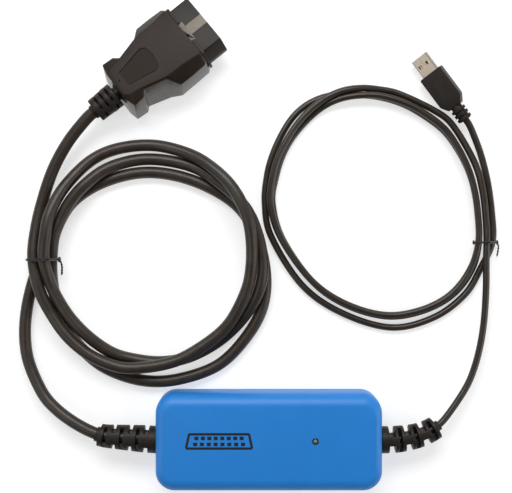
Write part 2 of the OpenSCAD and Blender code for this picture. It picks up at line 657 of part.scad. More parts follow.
module obd_plug_shroud() {
    color("black") on_obd_plug() difference() {
        union() {
            d_block(51, cover_l + shroud_out, 0);
            d_block(cover_l + 0.02, cover_l + 2, 1.8);
        }
        d_block(50, cover_l + shroud_out + 1, -1.6);
        key_block(x = 0.02, half_w = key_wide, l = 3.6, z = 5, h = 8);
        key_block(x = 0, half_w = key_narrow, l = shroud_out + 2, z = 5, h = 8);
    }
}
// two rows of eight contacts, grown by g
module contact_bars(g) {
    for (s = [-1, 1], k = [0 : 7])
        translate([contact_x, (k - 3.5) * contact_pitch - contact_w / 2 - g,
            cover_axis + s * contact_row_z - contact_t / 2 - g])
            cube([contact_l, contact_w + 2 * g, contact_t + 2 * g]);
}
module obd_contact_carrier() {
    key_z = 5.4;
    key_h = d_half_h + 0.6 - key_z;
    color("gray") on_obd_plug() difference() {
        union() {
            d_block(52, cover_l + 1, -1.65);
            key_block(x = 0.1, half_w = key_wide - key_play, l = 3.4, z = key_z, h = key_h);
            key_block(x = 0.1, half_w = key_narrow - key_play, l = shroud_out + 0.6,
                z = key_z, h = key_h);
        }
        contact_bars(0.005);
    }
}
module obd_contacts() { color("gold") on_obd_plug() contact_bars(0); }
// eight wires that fan out from the boot to every other contact of each row
module obd_plug_wires() {
    color("orange") on_obd_plug() for (s = [-1, 1], k = [0 : 3])
        let (place = k - 1.5,
            rear_y = place * 1.7,
            rear_z = cover_axis + s * (abs(place) < 1 ? 2 : 1.5),
            end_y = place * plug_wire_pitch + s * 2,
            end_z = cover_axis + s * contact_row_z)
        tube(curve([
            [5.5, rear_y, rear_z], [11, rear_y, rear_z],
            [36, end_y * 0.8, cover_axis + s * 3.8],
            [42, end_y, end_z], [contact_x - 0.1, end_y, end_z]], 2), 0.6, 6);
}
module obd_plug_screws() {
    color("silver") on_obd_plug() for (at = plug_screw_at) translate([at[0], at[1], 6.2])
        screw(l = 17.4, r = 1, head_r = 2.4, head_h = 1.55);
}
module obd_plug_boot() {
    color("black") on_obd_plug() on_cover_axis() difference() {
        union() {
            rod(x = -21.8, l = 25.4, r = 5.9);
            rod(x = 3.2, l = 1.7, r = 7.3);
            for (k = [0 : 3]) rod(x = -5 - 4.7 * k, l = 3, r = 8.9 - 0.15 * k);
        }
        rod(x = -26, l = 10.5, r = obd_d / 2 + 0.35);
        rod(x = -16, l = 24, r = 3.2);
    }
}

// ---- computer plug: local x points out of the plug, y to its left ----
overmould_l = 28.8;
overmould_half_w = 8.5;
usb_shell_x = 16;
usb_shell_l = 26.8;
usb_shell_wall = 0.32;
insulator_inset = 0.34; // from the outside of the metal shell
blade_x = 13.2;
blade_l = 28;
blade_y = [-3.5, -1, 1, 3.5];

module on_usb_plug() {
    translate([usb_plug_at[0], usb_plug_at[1], usb_axis_z]) rotate([0, 0, usb_plug_turn])
        rotate([usb_plug_roll, 0, 0]) children();
}
// block of the shell's width and thickness, drawn in by inset; h sets another thickness
module shell_block(x, l, inset, h = shell_h) {
    translate([x, -shell_w / 2 + inset, -shell_h / 2 + inset])
        cube([l, shell_w - 2 * inset, h - 2 * inset]);
}
function usb_outline(inset) = let (y = overmould_half_w - inset, x = overmould_l - inset)
    [[inset, -5 + inset], [5.4, -y], [x, -y], [x, y], [5.4, y], [inset, 5 - inset]];

module usb_overmould() {
    color("dimgray") on_usb_plug() difference() {
        skin([[-4, usb_outline(0.9)], [-3.1, usb_outline(0)],
            [3.1, usb_outline(0)], [4, usb_outline(0.9)]]);
        shell_block(x = usb_shell_x - 0.05, l = 14, inset = -0.02);
        translate([7.6, -4, -1.6]) cube([8.4, 8, 3.2]);
        rod(x = -1, l = 2.95, r = 2.4);
        rod(x = 0, l = 10, r = 2);
    }
}
module usb_shell() {
    color("silver") on_usb_plug() difference() {
        shell_block(x = usb_shell_x, l = usb_shell_l, inset = 0);
        shell_block(x = 15, l = 29, inset = usb_shell_wall);
        // two square windows, through top and bottom
        for (s = [-1, 1]) translate([34.8, s * 2.9 - 1.15, -5]) cube([2.6, 2.3, 10]);
    }
}
module usb_insulator() {
    color("white") on_usb_plug() difference() {
        union() {
            shell_block(x = usb_shell_x + 0.1, l = 11, inset = insulator_inset);
            // tongue 1.8 thick, along the bottom of the shell
            shell_block(x = usb_shell_x + 0.1, l = 26.2, inset = insulator_inset,
                h = 1.8 + 2 * insulator_inset);
        }
        usb_blades(0.01);
    }
}
// four contacts, grown by g at the sides and below
module usb_blades(g) {
    for (y = blade_y) translate([blade_x, y - 0.5 - g, -0.2 - g])
        cube([blade_l, 1 + 2 * g, 0.4 + g]);
}
module usb_contacts() { color("gold") on_usb_plug() usb_blades(0); }
module usb_plug_wires() {
    color("seagreen") on_usb_plug() for (k = [0 : 3]) let (rear_y = (k - 1.5) * 0.95)
        tube(curve([[3, rear_y, 0], [7, rear_y, 0], [10.4, blade_y[k] * 0.8, 0.1],
            [blade_x - 0.1, blade_y[k], 0]], 2), 0.38, 6);
}
module usb_plug_boot() {
    color("black") on_usb_plug() difference() {
        union() {
            rod(x = -11.3, l = 11.29, r = 4);
            rod(x = -1, l = 2.8, r = 2.35);
            for (k = [0 : 2]) rod(x = -4.05 - 3.35 * k, l = 2.1, r = 5.2 - 0.05 * k);
        }
        rod(x = -14, l = 6, r = usb_d / 2 + 0.3);
        rod(x = -9, l = 14, r = 1.7);
    }
}

lower_shell();
upper_shell();
circuit_board();
microcontroller();
interface_chips();
voltage_regulator();
capacitors();
crystal();
obd_header();
usb_header();
obd_wires();
usb_wires();
led_bezel();
status_led();
case_screws();
board_screws();
obd_box_boot();
usb_box_boot();
obd_cable();
usb_cable();
obd_twist_tie();
usb_twist_tie();
obd_plug_boot();
obd_plug_upper_cover();
obd_plug_lower_cover();
obd_plug_shroud();
obd_contact_carrier();
obd_contacts();
obd_plug_wires();
obd_plug_screws();
usb_plug_boot();
usb_overmould();
usb_shell();
usb_insulator();
usb_contacts();
usb_plug_wires();
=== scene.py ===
# A vehicle interface box with two coiled leads, lying on a white floor.
# The box is centred on x = y = 0 with its foot at z = 0 and its long side along x. The vehicle lead
# leaves it at -x and ends in a D-shaped plug, the computer lead leaves at +x and ends in a flat
# steel plug. Both coils lie on the +y side. Lengths are in mm until make() turns them into metres.
import bpy, bmesh, json, math
from collections import namedtuple
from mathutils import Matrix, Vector


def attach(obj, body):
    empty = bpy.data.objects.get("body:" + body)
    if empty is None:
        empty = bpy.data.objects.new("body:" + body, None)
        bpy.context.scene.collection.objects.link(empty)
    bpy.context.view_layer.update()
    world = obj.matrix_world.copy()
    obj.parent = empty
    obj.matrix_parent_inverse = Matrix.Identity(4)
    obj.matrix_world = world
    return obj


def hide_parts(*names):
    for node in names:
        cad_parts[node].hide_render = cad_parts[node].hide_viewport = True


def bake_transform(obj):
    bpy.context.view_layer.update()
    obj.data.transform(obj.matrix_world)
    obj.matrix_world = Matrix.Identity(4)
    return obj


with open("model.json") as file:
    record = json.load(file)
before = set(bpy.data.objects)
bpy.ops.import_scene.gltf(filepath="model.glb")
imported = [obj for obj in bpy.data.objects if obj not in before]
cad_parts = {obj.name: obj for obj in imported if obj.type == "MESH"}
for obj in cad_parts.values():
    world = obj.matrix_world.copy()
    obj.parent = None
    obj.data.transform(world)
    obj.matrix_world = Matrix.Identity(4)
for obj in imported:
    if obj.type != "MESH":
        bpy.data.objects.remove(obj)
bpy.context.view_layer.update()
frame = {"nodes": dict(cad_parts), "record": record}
MM = 0.001
UP = Vector((0, 0, 1))
rad = math.radians

# ------------------------------------------------------------------ driving dimensions
VEHICLE_R, COMPUTER_R = 4.1, 2.33              # cable radii
VEHICLE_SIDES, COMPUTER_SIDES = ((32, 24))

BOX_X, BOX_Y, BOX_TOP = 76, 33, 27             # half length, half width, height
BOX_CORNER, BOX_WALL = 13, 2.4
PARTING_Z = 13.5                               # lid meets base here, and the leads come out here
TOP_ROLL_X, TOP_ROLL_Y, FOOT_ROLL = 5.5, 9.0, 2.5
LAMP_AT = (31, 1.5)

# where a plug's boot meets its body, turn about z, roll about its own length, height of its axis,
# and the height of that axis in the plug's own coordinates (u along, v across, z up)
Plug = namedtuple("Plug", "x y turn roll axis_z own_axis")
VEHICLE_PLUG = Plug(x=-101.9, y=235.4, turn=38.7, roll=-10.0, axis_z=17.0, own_axis=12.5)
COMPUTER_PLUG = Plug(x=128.6, y=227.4, turn=126.7, roll=-30.0, axis_z=7.9, own_axis=0)


# ------------------------------------------------------------------ materials
def add_node(tree, kind, values=()):
    node = tree.nodes.new("ShaderNode" + kind)
    for key, value in dict(values).items():
        node.inputs[key].default_value = value
    return node


def add_ramp(tree, stops):
    """colour ramp between two (position, colour) stops"""
    node = add_node(tree, "ValToRGB")
    for element, (position, colour) in zip(node.color_ramp.elements, stops):
        element.position = position
        element.color = (*colour, 1)
    return node


def add_specks(tree, coordinates, colour_socket, colour, amount, scale):
    """mixes small lighter dots into a colour"""
    cells = add_node(tree, "TexVoronoi", {"Scale": scale})
    tree.links.new(coordinates, cells.inputs["Vector"])
    dots = add_node(tree, "MapRange", {"From Min": 0.0, "From Max": 0.12,
                                       "To Min": amount, "To Max": 0.0})
    tree.links.new(cells.outputs["Distance"], dots.inputs["Value"])
    mix = tree.nodes.new("ShaderNodeMix")
    mix.data_type = "RGBA"
    tree.links.new(dots.outputs["Result"], mix.inputs["Factor"])
    tree.links.new(colour_socket, mix.inputs["A"])
    mix.inputs["B"].default_value = (*[c * 2.2 + 0.02 for c in colour], 1)
    return mix.outputs["Result"]


def shade(name, colour, rough, metal=0.0, vary=0.06, rough_vary=0.08, scale=400.0, bump=0.05,
          grain=2500.0, coat=0.0, spec=0.5, speck=0.0, streak=None, warm=None):
    """vary: spread of the colour over noise of size scale, up towards warm where given;
    rough_vary and bump follow the finer noise grain; streak stretches both noises"""
    material = bpy.data.materials.new(name)
    material.use_nodes = True
    tree = material.node_tree
    link = tree.links.new
    surface = tree.nodes["Principled BSDF"]
    object_space = add_node(tree, "TexCoord").outputs["Object"]
    source = object_space
    if streak:
        mapping = add_node(tree, "Mapping", {"Scale": streak})
        link(source, mapping.inputs["Vector"])
        source = mapping.outputs["Vector"]
    patches = add_node(tree, "TexNoise", {"Scale": scale, "Detail": 5})
    link(source, patches.inputs["Vector"])
    fine = add_node(tree, "TexNoise", {"Scale": grain, "Detail": 3})
    link(source, fine.inputs["Vector"])
    ramp = add_ramp(tree, [(0.3, [c * (1 - vary) for c in colour]),
                           (0.7, [c * (1 + vary) for c in (warm or colour)])])
    link(patches.outputs["Fac"], ramp.inputs["Fac"])
    tint = ramp.outputs["Color"]
    if speck:
        tint = add_specks(tree, object_space, tint, colour, amount=speck, scale=grain * 0.5)
    link(tint, surface.inputs["Base Color"])
    roughness = add_node(tree, "MapRange", {"To Min": rough - rough_vary,
                                            "To Max": rough + rough_vary})
    link(fine.outputs["Fac"], roughness.inputs["Value"])
    link(roughness.outputs["Result"], surface.inputs["Roughness"])
    relief = add_node(tree, "Bump", {"Strength": bump, "Distance": 0.0002})
    link(fine.outputs["Fac"], relief.inputs["Height"])
    link(relief.outputs["Normal"], surface.inputs["Normal"])
    surface.inputs["Metallic"].default_value = metal
    surface.inputs["Specular IOR Level"].default_value = spec
    surface.inputs["Coat Weight"].default_value = coat
    surface.inputs["Coat Roughness"].default_value = 0.25
    return material


LOOKS = {
    "shell_blue": dict(colour=(0.0145, 0.225, 0.68), rough=0.46, vary=0.025, rough_vary=0.05,
                       scale=60, bump=0.10, grain=3200),
    "print_black": dict(colour=(0.006, 0.006, 0.008), rough=0.55, vary=0.2, grain=4000, bump=0.03),
    "board_green": dict(colour=(0.01, 0.11, 0.04), rough=0.4, scale=700, vary=0.3, bump=0.08),
    "chip_black": dict(colour=(0.018, 0.018, 0.02), rough=0.6, grain=4000, bump=0.12),
    "capacitor_aluminium": dict(colour=(0.7, 0.7, 0.72), rough=0.3, metal=1, vary=0.05,
                                streak=(1, 1, 12)),
    "crystal_steel": dict(colour=(0.6, 0.6, 0.6), rough=0.28, metal=1, streak=(20, 1, 1)),
    "header_ivory": dict(colour=(0.66, 0.6, 0.45), rough=0.45, vary=0.05),
    "wire_red": dict(colour=(0.42, 0.02, 0.015), rough=0.4),
    "wire_green": dict(colour=(0.02, 0.22, 0.05), rough=0.4),
    "wire_orange": dict(colour=(0.62, 0.15, 0.01), rough=0.4),
    "bezel_black": dict(colour=(0.012, 0.02, 0.03), rough=0.3, bump=0.02),
    "lamp_lens": dict(colour=(0.17, 0.22, 0.17), rough=0.12, bump=0.02, coat=0.6, vary=0.1),
    "screw_steel": dict(colour=(0.5, 0.5, 0.5), rough=0.32, metal=1, streak=(1, 1, 20), bump=0.04),
    "boot_black": dict(colour=(0.0165, 0.0118, 0.0092), rough=0.48, vary=0.18, rough_vary=0.1,
                       scale=300, bump=0.22, grain=1800, spec=0.28),
    "cable_black": dict(colour=(0.0235, 0.0160, 0.0104), rough=0.42, vary=0.15, rough_vary=0.07,
                        scale=120, bump=0.10, grain=1500, warm=(0.030, 0.0205, 0.0134)),
    "cable_thin": dict(colour=(0.0220, 0.0148, 0.0095), rough=0.36, vary=0.15, rough_vary=0.07,
                       scale=120, bump=0.10, grain=1500, warm=(0.0275, 0.019, 0.0125)),
    "tie_black": dict(colour=(0.012, 0.011, 0.011), rough=0.28, bump=0.05, coat=0.3),
    "plug_grey": dict(colour=(0.0185, 0.0105, 0.0062), rough=0.48, vary=0.12, scale=500,
                      bump=0.22, grain=2600, speck=0.03, spec=0.22),
    # plug_side: the same plastic as plug_grey, painted lighter and glossier as painted light for the
    # lit side faces of the lower cover
    "plug_side": dict(colour=(0.062, 0.052, 0.044), rough=0.28, vary=0.12, rough_vary=0.06,
                      scale=500, bump=0.12, grain=2600, speck=0.03, spec=0.7),
    "plug_recess": dict(colour=(0.0210, 0.0135, 0.0094), rough=0.55, vary=0.12, rough_vary=0.06,
                        scale=500, bump=0.3, grain=3600, spec=0.16),
    "shroud_black": dict(colour=(0.0165, 0.0100, 0.0066), rough=0.42, vary=0.1, scale=300,
                         bump=0.12, grain=2200, spec=0.22),
    "carrier_grey": dict(colour=(0.20, 0.178, 0.145), rough=0.55, vary=0.1, scale=500, bump=0.25,
                         grain=2600),
    "contact_brass": dict(colour=(0.72, 0.53, 0.24), rough=0.25, metal=1, streak=(1, 10, 1),
                          bump=0.03),
    "overmould_black": dict(colour=(0.0185, 0.0132, 0.0105), rough=0.46, vary=0.12, scale=300,
                            bump=0.18, grain=2200, spec=0.28),
    "shell_steel": dict(colour=(0.41, 0.355, 0.29), rough=0.30, metal=1, streak=(3, 3, 3),
                        scale=200),
    "insulator_white": dict(colour=(0.72, 0.72, 0.70), rough=0.45, vary=0.03),
}
MATERIALS = {name: shade(name, **look) for name, look in LOOKS.items()}

# the CAD pieces take the material of their slot
SLOTS = {part["node"]: part["material_slot"] for part in frame["record"]["subparts"]}
for node_name, piece in frame["nodes"].items():
    piece.data.materials.clear()
    piece.data.materials.append(MATERIALS.get(SLOTS[node_name], MATERIALS["chip_black"]))
    # sharp edges come first, because they are also taken from faces that are still flat
    piece.data.set_sharp_from_angle(angle=rad(32))
    for face in piece.data.polygons:
        face.use_smooth = True


# ------------------------------------------------------------------ object tools
def smooth(mesh, angle):
    for face in mesh.polygons:
        face.use_smooth = True
    mesh.set_sharp_from_angle(angle=rad(angle))


def make(name, verts, faces, material=None, angle=35):
    """object from points in mm; edges steeper than angle stay sharp"""
    mesh = bpy.data.meshes.new(name)
    mesh.from_pydata([(v[0] * MM, v[1] * MM, v[2] * MM) for v in verts], [], faces)
    mesh.validate()
    bm = bmesh.new()
    bm.from_mesh(mesh)
    bmesh.ops.recalc_face_normals(bm, faces=bm.faces)
    bm.to_mesh(mesh)
    bm.free()
    obj = bpy.data.objects.new(name, mesh)
    bpy.context.scene.collection.objects.link(obj)
    if material:
        mesh.materials.append(MATERIALS[material])
    smooth(mesh, angle)
    return obj


def tool(solid):
    """short-lived solid for a boolean"""
    return make("tool", *solid)


def bake(obj, angle=35):
    """puts the result of the modifiers in place of the mesh"""
    bpy.context.view_layer.update()
    depsgraph = bpy.context.evaluated_depsgraph_get()
    mesh = bpy.data.meshes.new_from_object(obj.evaluated_get(depsgraph))
    old = obj.data
    obj.modifiers.clear()
    obj.data = mesh
    bpy.data.meshes.remove(old)
    smooth(mesh, angle)


def bevel(obj, width, segments, edge_angle, angle=35):
    """rounds edges steeper than edge_angle"""
    modifier = obj.modifiers.new("bevel", "BEVEL")
    modifier.width = width * MM
    modifier.segments = segments
    modifier.limit_method = "ANGLE"
    modifier.angle_limit = rad(edge_angle)
    bake(obj, angle)


def boolean(obj, tools, operation="DIFFERENCE"):
    for other in tools:
        modifier = obj.modifiers.new("cut", "BOOLEAN")
        modifier.operation = operation
        modifier.object = other
        modifier.solver = "EXACT"


def drop(*objects):
    for obj in objects:
        mesh = obj.data
        bpy.data.objects.remove(obj)
        bpy.data.meshes.remove(mesh)


def join(name, parts, material):
    bm = bmesh.new()
    for part in parts:
        bm.from_mesh(part.data)
    mesh = bpy.data.meshes.new(name)
    bm.to_mesh(mesh)
    bm.free()
    obj = bpy.data.objects.new(name, mesh)
    bpy.context.scene.collection.objects.link(obj)
    mesh.materials.append(MATERIALS[material])
    drop(*parts)
    return obj


def only_material(obj, material):
    """clears slots left by a boolean"""
    obj.data.materials.clear()
    obj.data.materials.append(MATERIALS[material])


# ------------------------------------------------------------------ solids, as (verts, faces)
def as_is(point):
    return point


def bands(rings, looped=False):
    """quads between rings; looped also joins the last ring to the first"""
    n, m = len(rings[0]), len(rings)
    faces = []
    for i in range(m if looped else m - 1):
        here, there = i * n, (i + 1) % m * n
        for k in range(n):
            after = (k + 1) % n
            faces.append((here + k, here + after, there + after, there + k))
    return [v for ring in rings for v in ring], faces


def loft(rings):
    """bands with a cap on each end"""
    n = len(rings[0])
    verts, faces = bands(rings)
    faces.append(tuple(range(n))[::-1])
    faces.append(tuple((len(rings) - 1) * n + k for k in range(n)))
    return verts, faces


def prism(outline, z0, z1, put=as_is):
    return loft([[put((x, y, z)) for x, y in outline] for z in (z0, z1)])


def across(outline, u0, u1, plug_put, axis=0):
    """prism along a plug: the outline is (v, height above axis)"""
    return loft([[plug_put((u, v, axis + w)) for v, w in outline] for u in (u0, u1)])


def rod(start, direction, radius, length, n=32, put=as_is):
    direction = Vector(direction).normalized()
    a = direction.orthogonal().normalized()
    b = direction.cross(a)
    start = Vector(start)
    turns = [2 * math.pi * k / n for k in range(n)]
    return loft([[put(tuple(start + direction * t + (a * math.cos(q) + b * math.sin(q)) * radius))
                  for q in turns] for t in (0, length)])


def revolve(profile, n, centre, put=as_is):
    """rings about a z axis from a profile of (radius, z)"""
    turns = [2 * math.pi * k / n for k in range(n)]
    return [[put((centre[0] + r * math.cos(q), centre[1] + r * math.sin(q), z)) for q in turns]
            for r, z in profile]


def hollow_post(x, y, z0, z1, outer, inner):
    profile = [(outer, z0), (outer, z1), (inner, z1), (inner, z0)]
    return bands(revolve(profile, 28, (x, y)), looped=True)


def rectangle(x0, x1, y0, y1):
    return [(x0, y0), (x1, y0), (x1, y1), (x0, y1)]


def round_rect(half_x, half_y, r, n):
    out = []
    for sx, sy, a0 in ((1, 1, 0), (-1, 1, 90), (-1, -1, 180), (1, -1, 270)):
        for k in range(n + 1):
            a = rad(a0 + 90 * k / n)
            out.append((sx * (half_x - r) + r * math.cos(a), sy * (half_y - r) + r * math.sin(a)))
    return out


def rounded(polygon, r, n=5):
    """polygon with every corner turned into an arc of n steps"""
    out = []
    m = len(polygon)
    for i in range(m):
        before, corner, after = (Vector(polygon[j]) for j in (i - 1, i, (i + 1) % m))
        e1, e2 = (before - corner).normalized(), (after - corner).normalized()
        half = e1.angle(e2) / 2
        t = r / math.tan(half)
        centre = corner + (e1 + e2).normalized() * (r / math.sin(half))
        start, end = (corner + e1 * t) - centre, (corner + e2 * t) - centre
        swing = start.angle(end)
        sign = 1 if start.x * end.y - start.y * end.x > 0 else -1
        for k in range(n + 1):
            a = sign * swing * k / n
            out.append((centre.x + start.x * math.cos(a) - start.y * math.sin(a),
                        centre.y + start.x * math.sin(a) + start.y * math.cos(a)))
    return out


def ribbon(outline, width, z0, z1):
    """closed band inside an outline"""
    n = len(outline)
    inner = []
    for i in range(n):
        before, here, after = (Vector(outline[j]) for j in (i - 1, i, (i + 1) % n))
        e1, e2 = (here - before).normalized(), (after - here).normalized()
        n1, n2 = Vector((-e1.y, e1.x)), Vector((-e2.y, e2.x))
        mitre = (n1 + n2).normalized()
        inner.append(tuple(here + mitre * (width / mitre.dot(n1))))
    verts = [(x, y, z) for z in (z0, z1) for ring in (outline, inner) for x, y in ring]
    faces = []
    for k in range(n):
        q = (k + 1) % n
        faces += [(2 * n + k, 2 * n + q, 3 * n + q, 3 * n + k), (k, n + k, n + q, q),
                  (k, q, 2 * n + q, 2 * n + k), (n + k, 3 * n + k, 3 * n + q, n + q)]
    return verts, faces


# ------------------------------------------------------------------ path tools
def catmull(points, n, low=None):
    """Catmull-Rom curve with n steps between points, kept no lower than low"""
    P = [Vector(p) for p in points]
    P = [2 * P[0] - P[1]] + P + [2 * P[-1] - P[-2]]
    out = []
    for i in range(1, len(P) - 2):
        a, b, c, d = P[i - 1:i + 3]
        for k in range(n):
            t = k / n
            out.append(0.5 * (2 * b + (c - a) * t + (2 * a - 5 * b + 4 * c - d) * t * t
                              + (3 * b - a - 3 * c + d) * t ** 3))
    out.append(P[-2])
    if low is not None:
        for v in out:
            v.z = max(v.z, low)
    return out


def arc_lengths(path):
    lengths = [0.0]
    for a, b in zip(path, path[1:]):
        lengths.append(lengths[-1] + (b - a).length)
    return lengths


def resample(path, step):
    """even spacing, as near to step as fits"""
    s = arc_lengths(path)
    n = max(2, int(round(s[-1] / step)))
    out, j = [], 0
    for k in range(n + 1):
        t = s[-1] * k / n
        while j < len(s) - 2 and s[j + 1] < t:
            j += 1
        out.append(path[j].lerp(path[j + 1], min(1, (t - s[j]) / (s[j + 1] - s[j]))))
    return out


def relax(path, rounds):
    """smooths a run of points, holding both ends"""
    for _ in range(rounds):
        path = ([path[0]]
                + [(path[i - 1] + 2 * path[i] + path[i + 1]) / 4 for i in range(1, len(path) - 1)]
                + [path[-1]])
    return path


def tangent(path, i):
    return (path[min(i + 1, len(path) - 1)] - path[max(i - 1, 0)]).normalized()


def tube_rings(path, radius, sides):
    """rings along a path, with the section carried along without twist"""
    up = UP
    rings = []
    for i, p in enumerate(path):
        d = tangent(path, i)
        up = (up - d * up.dot(d)).normalized()
        side = d.cross(up)
        turns = [2 * math.pi * (k + 0.5) / sides for k in range(sides)]
        rings.append([tuple(p + side * (radius * math.cos(a)) + up * (radius * math.sin(a)))
                      for a in turns])
    return rings


def closed_tube(points, radius, sides):
    """tube around a closed loop that lies nearly square to y"""
    P = [Vector(p) for p in points]
    rings = []
    for i, p in enumerate(P):
        d = (P[(i + 1) % len(P)] - P[i - 1]).normalized()
        y = Vector((0, 1, 0))
        y = (y - d * y.dot(d)).normalized()
        out = d.cross(y)
        turns = [2 * math.pi * k / sides for k in range(sides)]
        rings.append([tuple(p + out * (radius * math.cos(a)) + y * (radius * math.sin(a)))
                      for a in turns])
    return bands(rings, looped=True)


# ------------------------------------------------------------------ plug coordinates
def along(plug, u, z):
    return (plug.x + u * math.cos(rad(plug.turn)), plug.y + u * math.sin(rad(plug.turn)), z)


def metres_along(plug, u):
    return tuple(c * MM for c in along(plug, u, plug.axis_z))


def plug_frame(plug):
    """function from a plug's own (u, v, z) to the scene"""
    c, s = math.cos(rad(plug.turn)), math.sin(rad(plug.turn))
    roll_c, roll_s = math.cos(rad(plug.roll)), math.sin(rad(plug.roll))

    def put(p):
        height = p[2] - plug.own_axis
        v, w = p[1] * roll_c - height * roll_s, p[1] * roll_s + height * roll_c
        return (plug.x + p[0] * c - v * s, plug.y + p[0] * s + v * c, plug.axis_z + w)
    return put


# ------------------------------------------------------------------ cables
# leads from the box to the coils: x, y, z
VEHICLE_LEAD = [
    (-70, -0.35, 13.5), (-75, 0, 13.5), (-85, 0.7, 13.5), (-95, 1.4, 13.5), (-105, 2.1, 13.5),
    (-113, 2.8, 13.4)]
COMPUTER_LEAD = [
    (70, 0, 13.5), (75, 0, 13.5), (83, 0.1, 13.5), (91, 0.8, 13.5), (99.5, 2.3, 13.4),
    (107, 4.8, 13.2), (112.8, 7.9, 12.9)]

# coils, as stations about a centre: angle in degrees, radius, z
VEHICLE_COIL_CENTRE = (-82, 118)
VEHICLE_COIL = [
    # run in from the box
    (250, 119, 12.8), (243.5, 117.8, 11.6), (237, 116.4, 9.8), (230, 113.8, 7.6),
    (218.5, 106.4, 4.6), (209, 98.3, 4.2), (198.9, 89.4, 4.3), (186.5, 80.3, 4.7),
    # first turn
    (175.2, 73.7, 5.7), (160.4, 69.7, 4.2), (140.7, 69.2, 4.2), (118.5, 66, 4.2),
    (91.6, 64.6, 4.2), (63.1, 66.1, 4.2), (35.9, 73, 4.2), (16.2, 76.4, 4.2), (357, 79.9, 4.2),
    (340.5, 82.8, 4.2), (324.3, 82.8, 4.2), (305.1, 83.2, 4.2), (285.1, 80.7, 4.2),
    (267.7, 79.3, 4.2), (249.2, 77, 4.2), (233.8, 74.4, 4.2), (217.4, 71.7, 4.2),
    (198.8, 68.6, 4.2), (186.4, 67.7, 5.3),
    # second turn
    (175.2, 66.5, 10.6), (162.8, 67.3, 12.9), (152.6, 67.6, 12.8), (141.4, 69, 12.8),
    (127.7, 70.3, 12.6), (111.5, 72.7, 9), (91.4, 73.7, 4.2), (68, 74.5, 5), (49.9, 74.7, 10.8),
    (32.7, 77.1, 12.7), (18, 77.5, 12.8), (2.1, 78, 12.8), (347.9, 77.2, 12.2),
    (332.7, 74.1, 6.5), (314.1, 70.7, 4.2), (294, 68.5, 4.2), (276.2, 66.7, 4.2),
    (258, 65.2, 4.4), (245.5, 64.7, 7.4), (228.9, 63.2, 11.4), (211.9, 64, 12.4),
    (195.3, 66.4, 13.3), (183.8, 68.5, 15.7),
    # third turn
    (174.3, 70.4, 18.6), (163.4, 71.6, 19.9), (151.8, 74.8, 18.4), (137.2, 78.5, 12.4),
    (119.6, 83, 5), (105.1, 83.8, 4.2), (87.4, 83.2, 4.2), (69.7, 81.5, 9.7), (56.3, 79.8, 16.5),
    (43, 78.3, 20.6), (28.3, 75.7, 21.8), (15.2, 72.8, 20.4), (359.1, 70.2, 18),
    (344.1, 68.6, 15.8), (321.8, 67.4, 12.9), (296.8, 66.2, 12.8), (279.8, 67.6, 12.8),
    (259.9, 70.6, 12.8), (248.8, 71.7, 12.8), (235.6, 72.5, 12.8), (220.3, 72.9, 12.8),
    (204.8, 73.7, 12.4), (191.4, 75.7, 14.2),
    # run out to the plug
    (175.9, 78.4, 13.2), (162.2, 80.8, 10.8), (149, 85, 9.6), (134.6, 92.7, 11),
    (122.4, 100.7, 13.8)]
COMPUTER_COIL_CENTRE = (76, 157)
COMPUTER_COIL = [
    # run in from the box
    (286.6, 150.6, 12), (292.6, 140.7, 10.2), (297.9, 132.3, 8.8), (304.1, 120.8, 7.9),
    (312, 107, 7.5), (322.9, 91.9, 7.5), (333.7, 81.9, 7.6),
    # first turn
    (342.9, 77, 8.4), (353.2, 74, 6.9), (9.5, 72.2, 7), (25.8, 73.5, 4.8), (47.5, 77.5, 2.4),
    (58.9, 78.7, 2.4), (79.3, 81.2, 2.4), (89.2, 82.8, 3.2), (97.9, 84.3, 5.5), (107, 85.2, 7.2),
    (116.1, 84.6, 7.3), (126.2, 82.8, 7.2), (137.4, 80.4, 7.2), (151.6, 78.2, 7.2),
    (164.7, 76.3, 7.2), (177.8, 74.7, 7.2), (196.3, 70.3, 7.2), (226.1, 67.5, 7.2),
    (250.1, 68.9, 7.2), (273.1, 72.8, 7.2), (292, 74.9, 7.2), (309.5, 76.4, 7.2),
    (326.2, 75, 7.2),
    # second turn
    (341.2, 71.8, 8.3), (356.7, 67.9, 7.2), (11.4, 66.7, 7.2), (24.9, 67.2, 7.2),
    (38.5, 68.7, 7.2), (51.3, 71.3, 7.2), (66, 73.1, 7.2), (78, 75.4, 7.2), (89.6, 77.9, 7.2),
    (98.6, 79.2, 7.2), (107.9, 80.5, 6.3), (117, 80.7, 3.8), (127.2, 79.3, 2.4),
    (139.4, 77.7, 2.4), (150.9, 76.1, 2.4), (163.2, 74.3, 2.4), (176, 73.5, 2.4),
    (196.5, 69.5, 2.4), (227.2, 67.5, 2.4), (250.7, 69.6, 2.4), (273.6, 74, 2.4),
    (292.2, 76.4, 2.4), (310.1, 78.2, 2.4), (326.4, 77, 2.4),
    # third turn
    (341.5, 73, 3.55), (356.8, 69.1, 2.4), (11.5, 67.9, 2.4), (24.9, 68.1, 2.4),
    (38.4, 69.1, 2.4), (51.1, 71, 2.4), (65.6, 72.5, 2.4), (77.4, 75.1, 2.4), (89.1, 77.8, 2.4),
    (98.1, 80, 2.4), (107, 83.6, 2.4), (115.8, 86.4, 2.4), (124.5, 87.7, 2.4),
    (133.3, 86.9, 2.4), (144.1, 84.1, 2.4), (155.1, 81.9, 2.4), (164.9, 80.1, 2.4),
    (176.7, 78.6, 2.4), (193.9, 76.5, 2.4), (224.7, 74.3, 2.4), (250.7, 75.9, 2.4),
    (276.4, 82.2, 2.4), (297.5, 84, 2.4), (315.7, 83.9, 2.4), (330.6, 81.6, 2.4),
    # run out to the plug
    (344, 81.8, 3.55), (357.2, 78.7, 2.4), (13.1, 77.9, 2.4), (27, 80, 3), (36.5, 82.4, 5.2)]

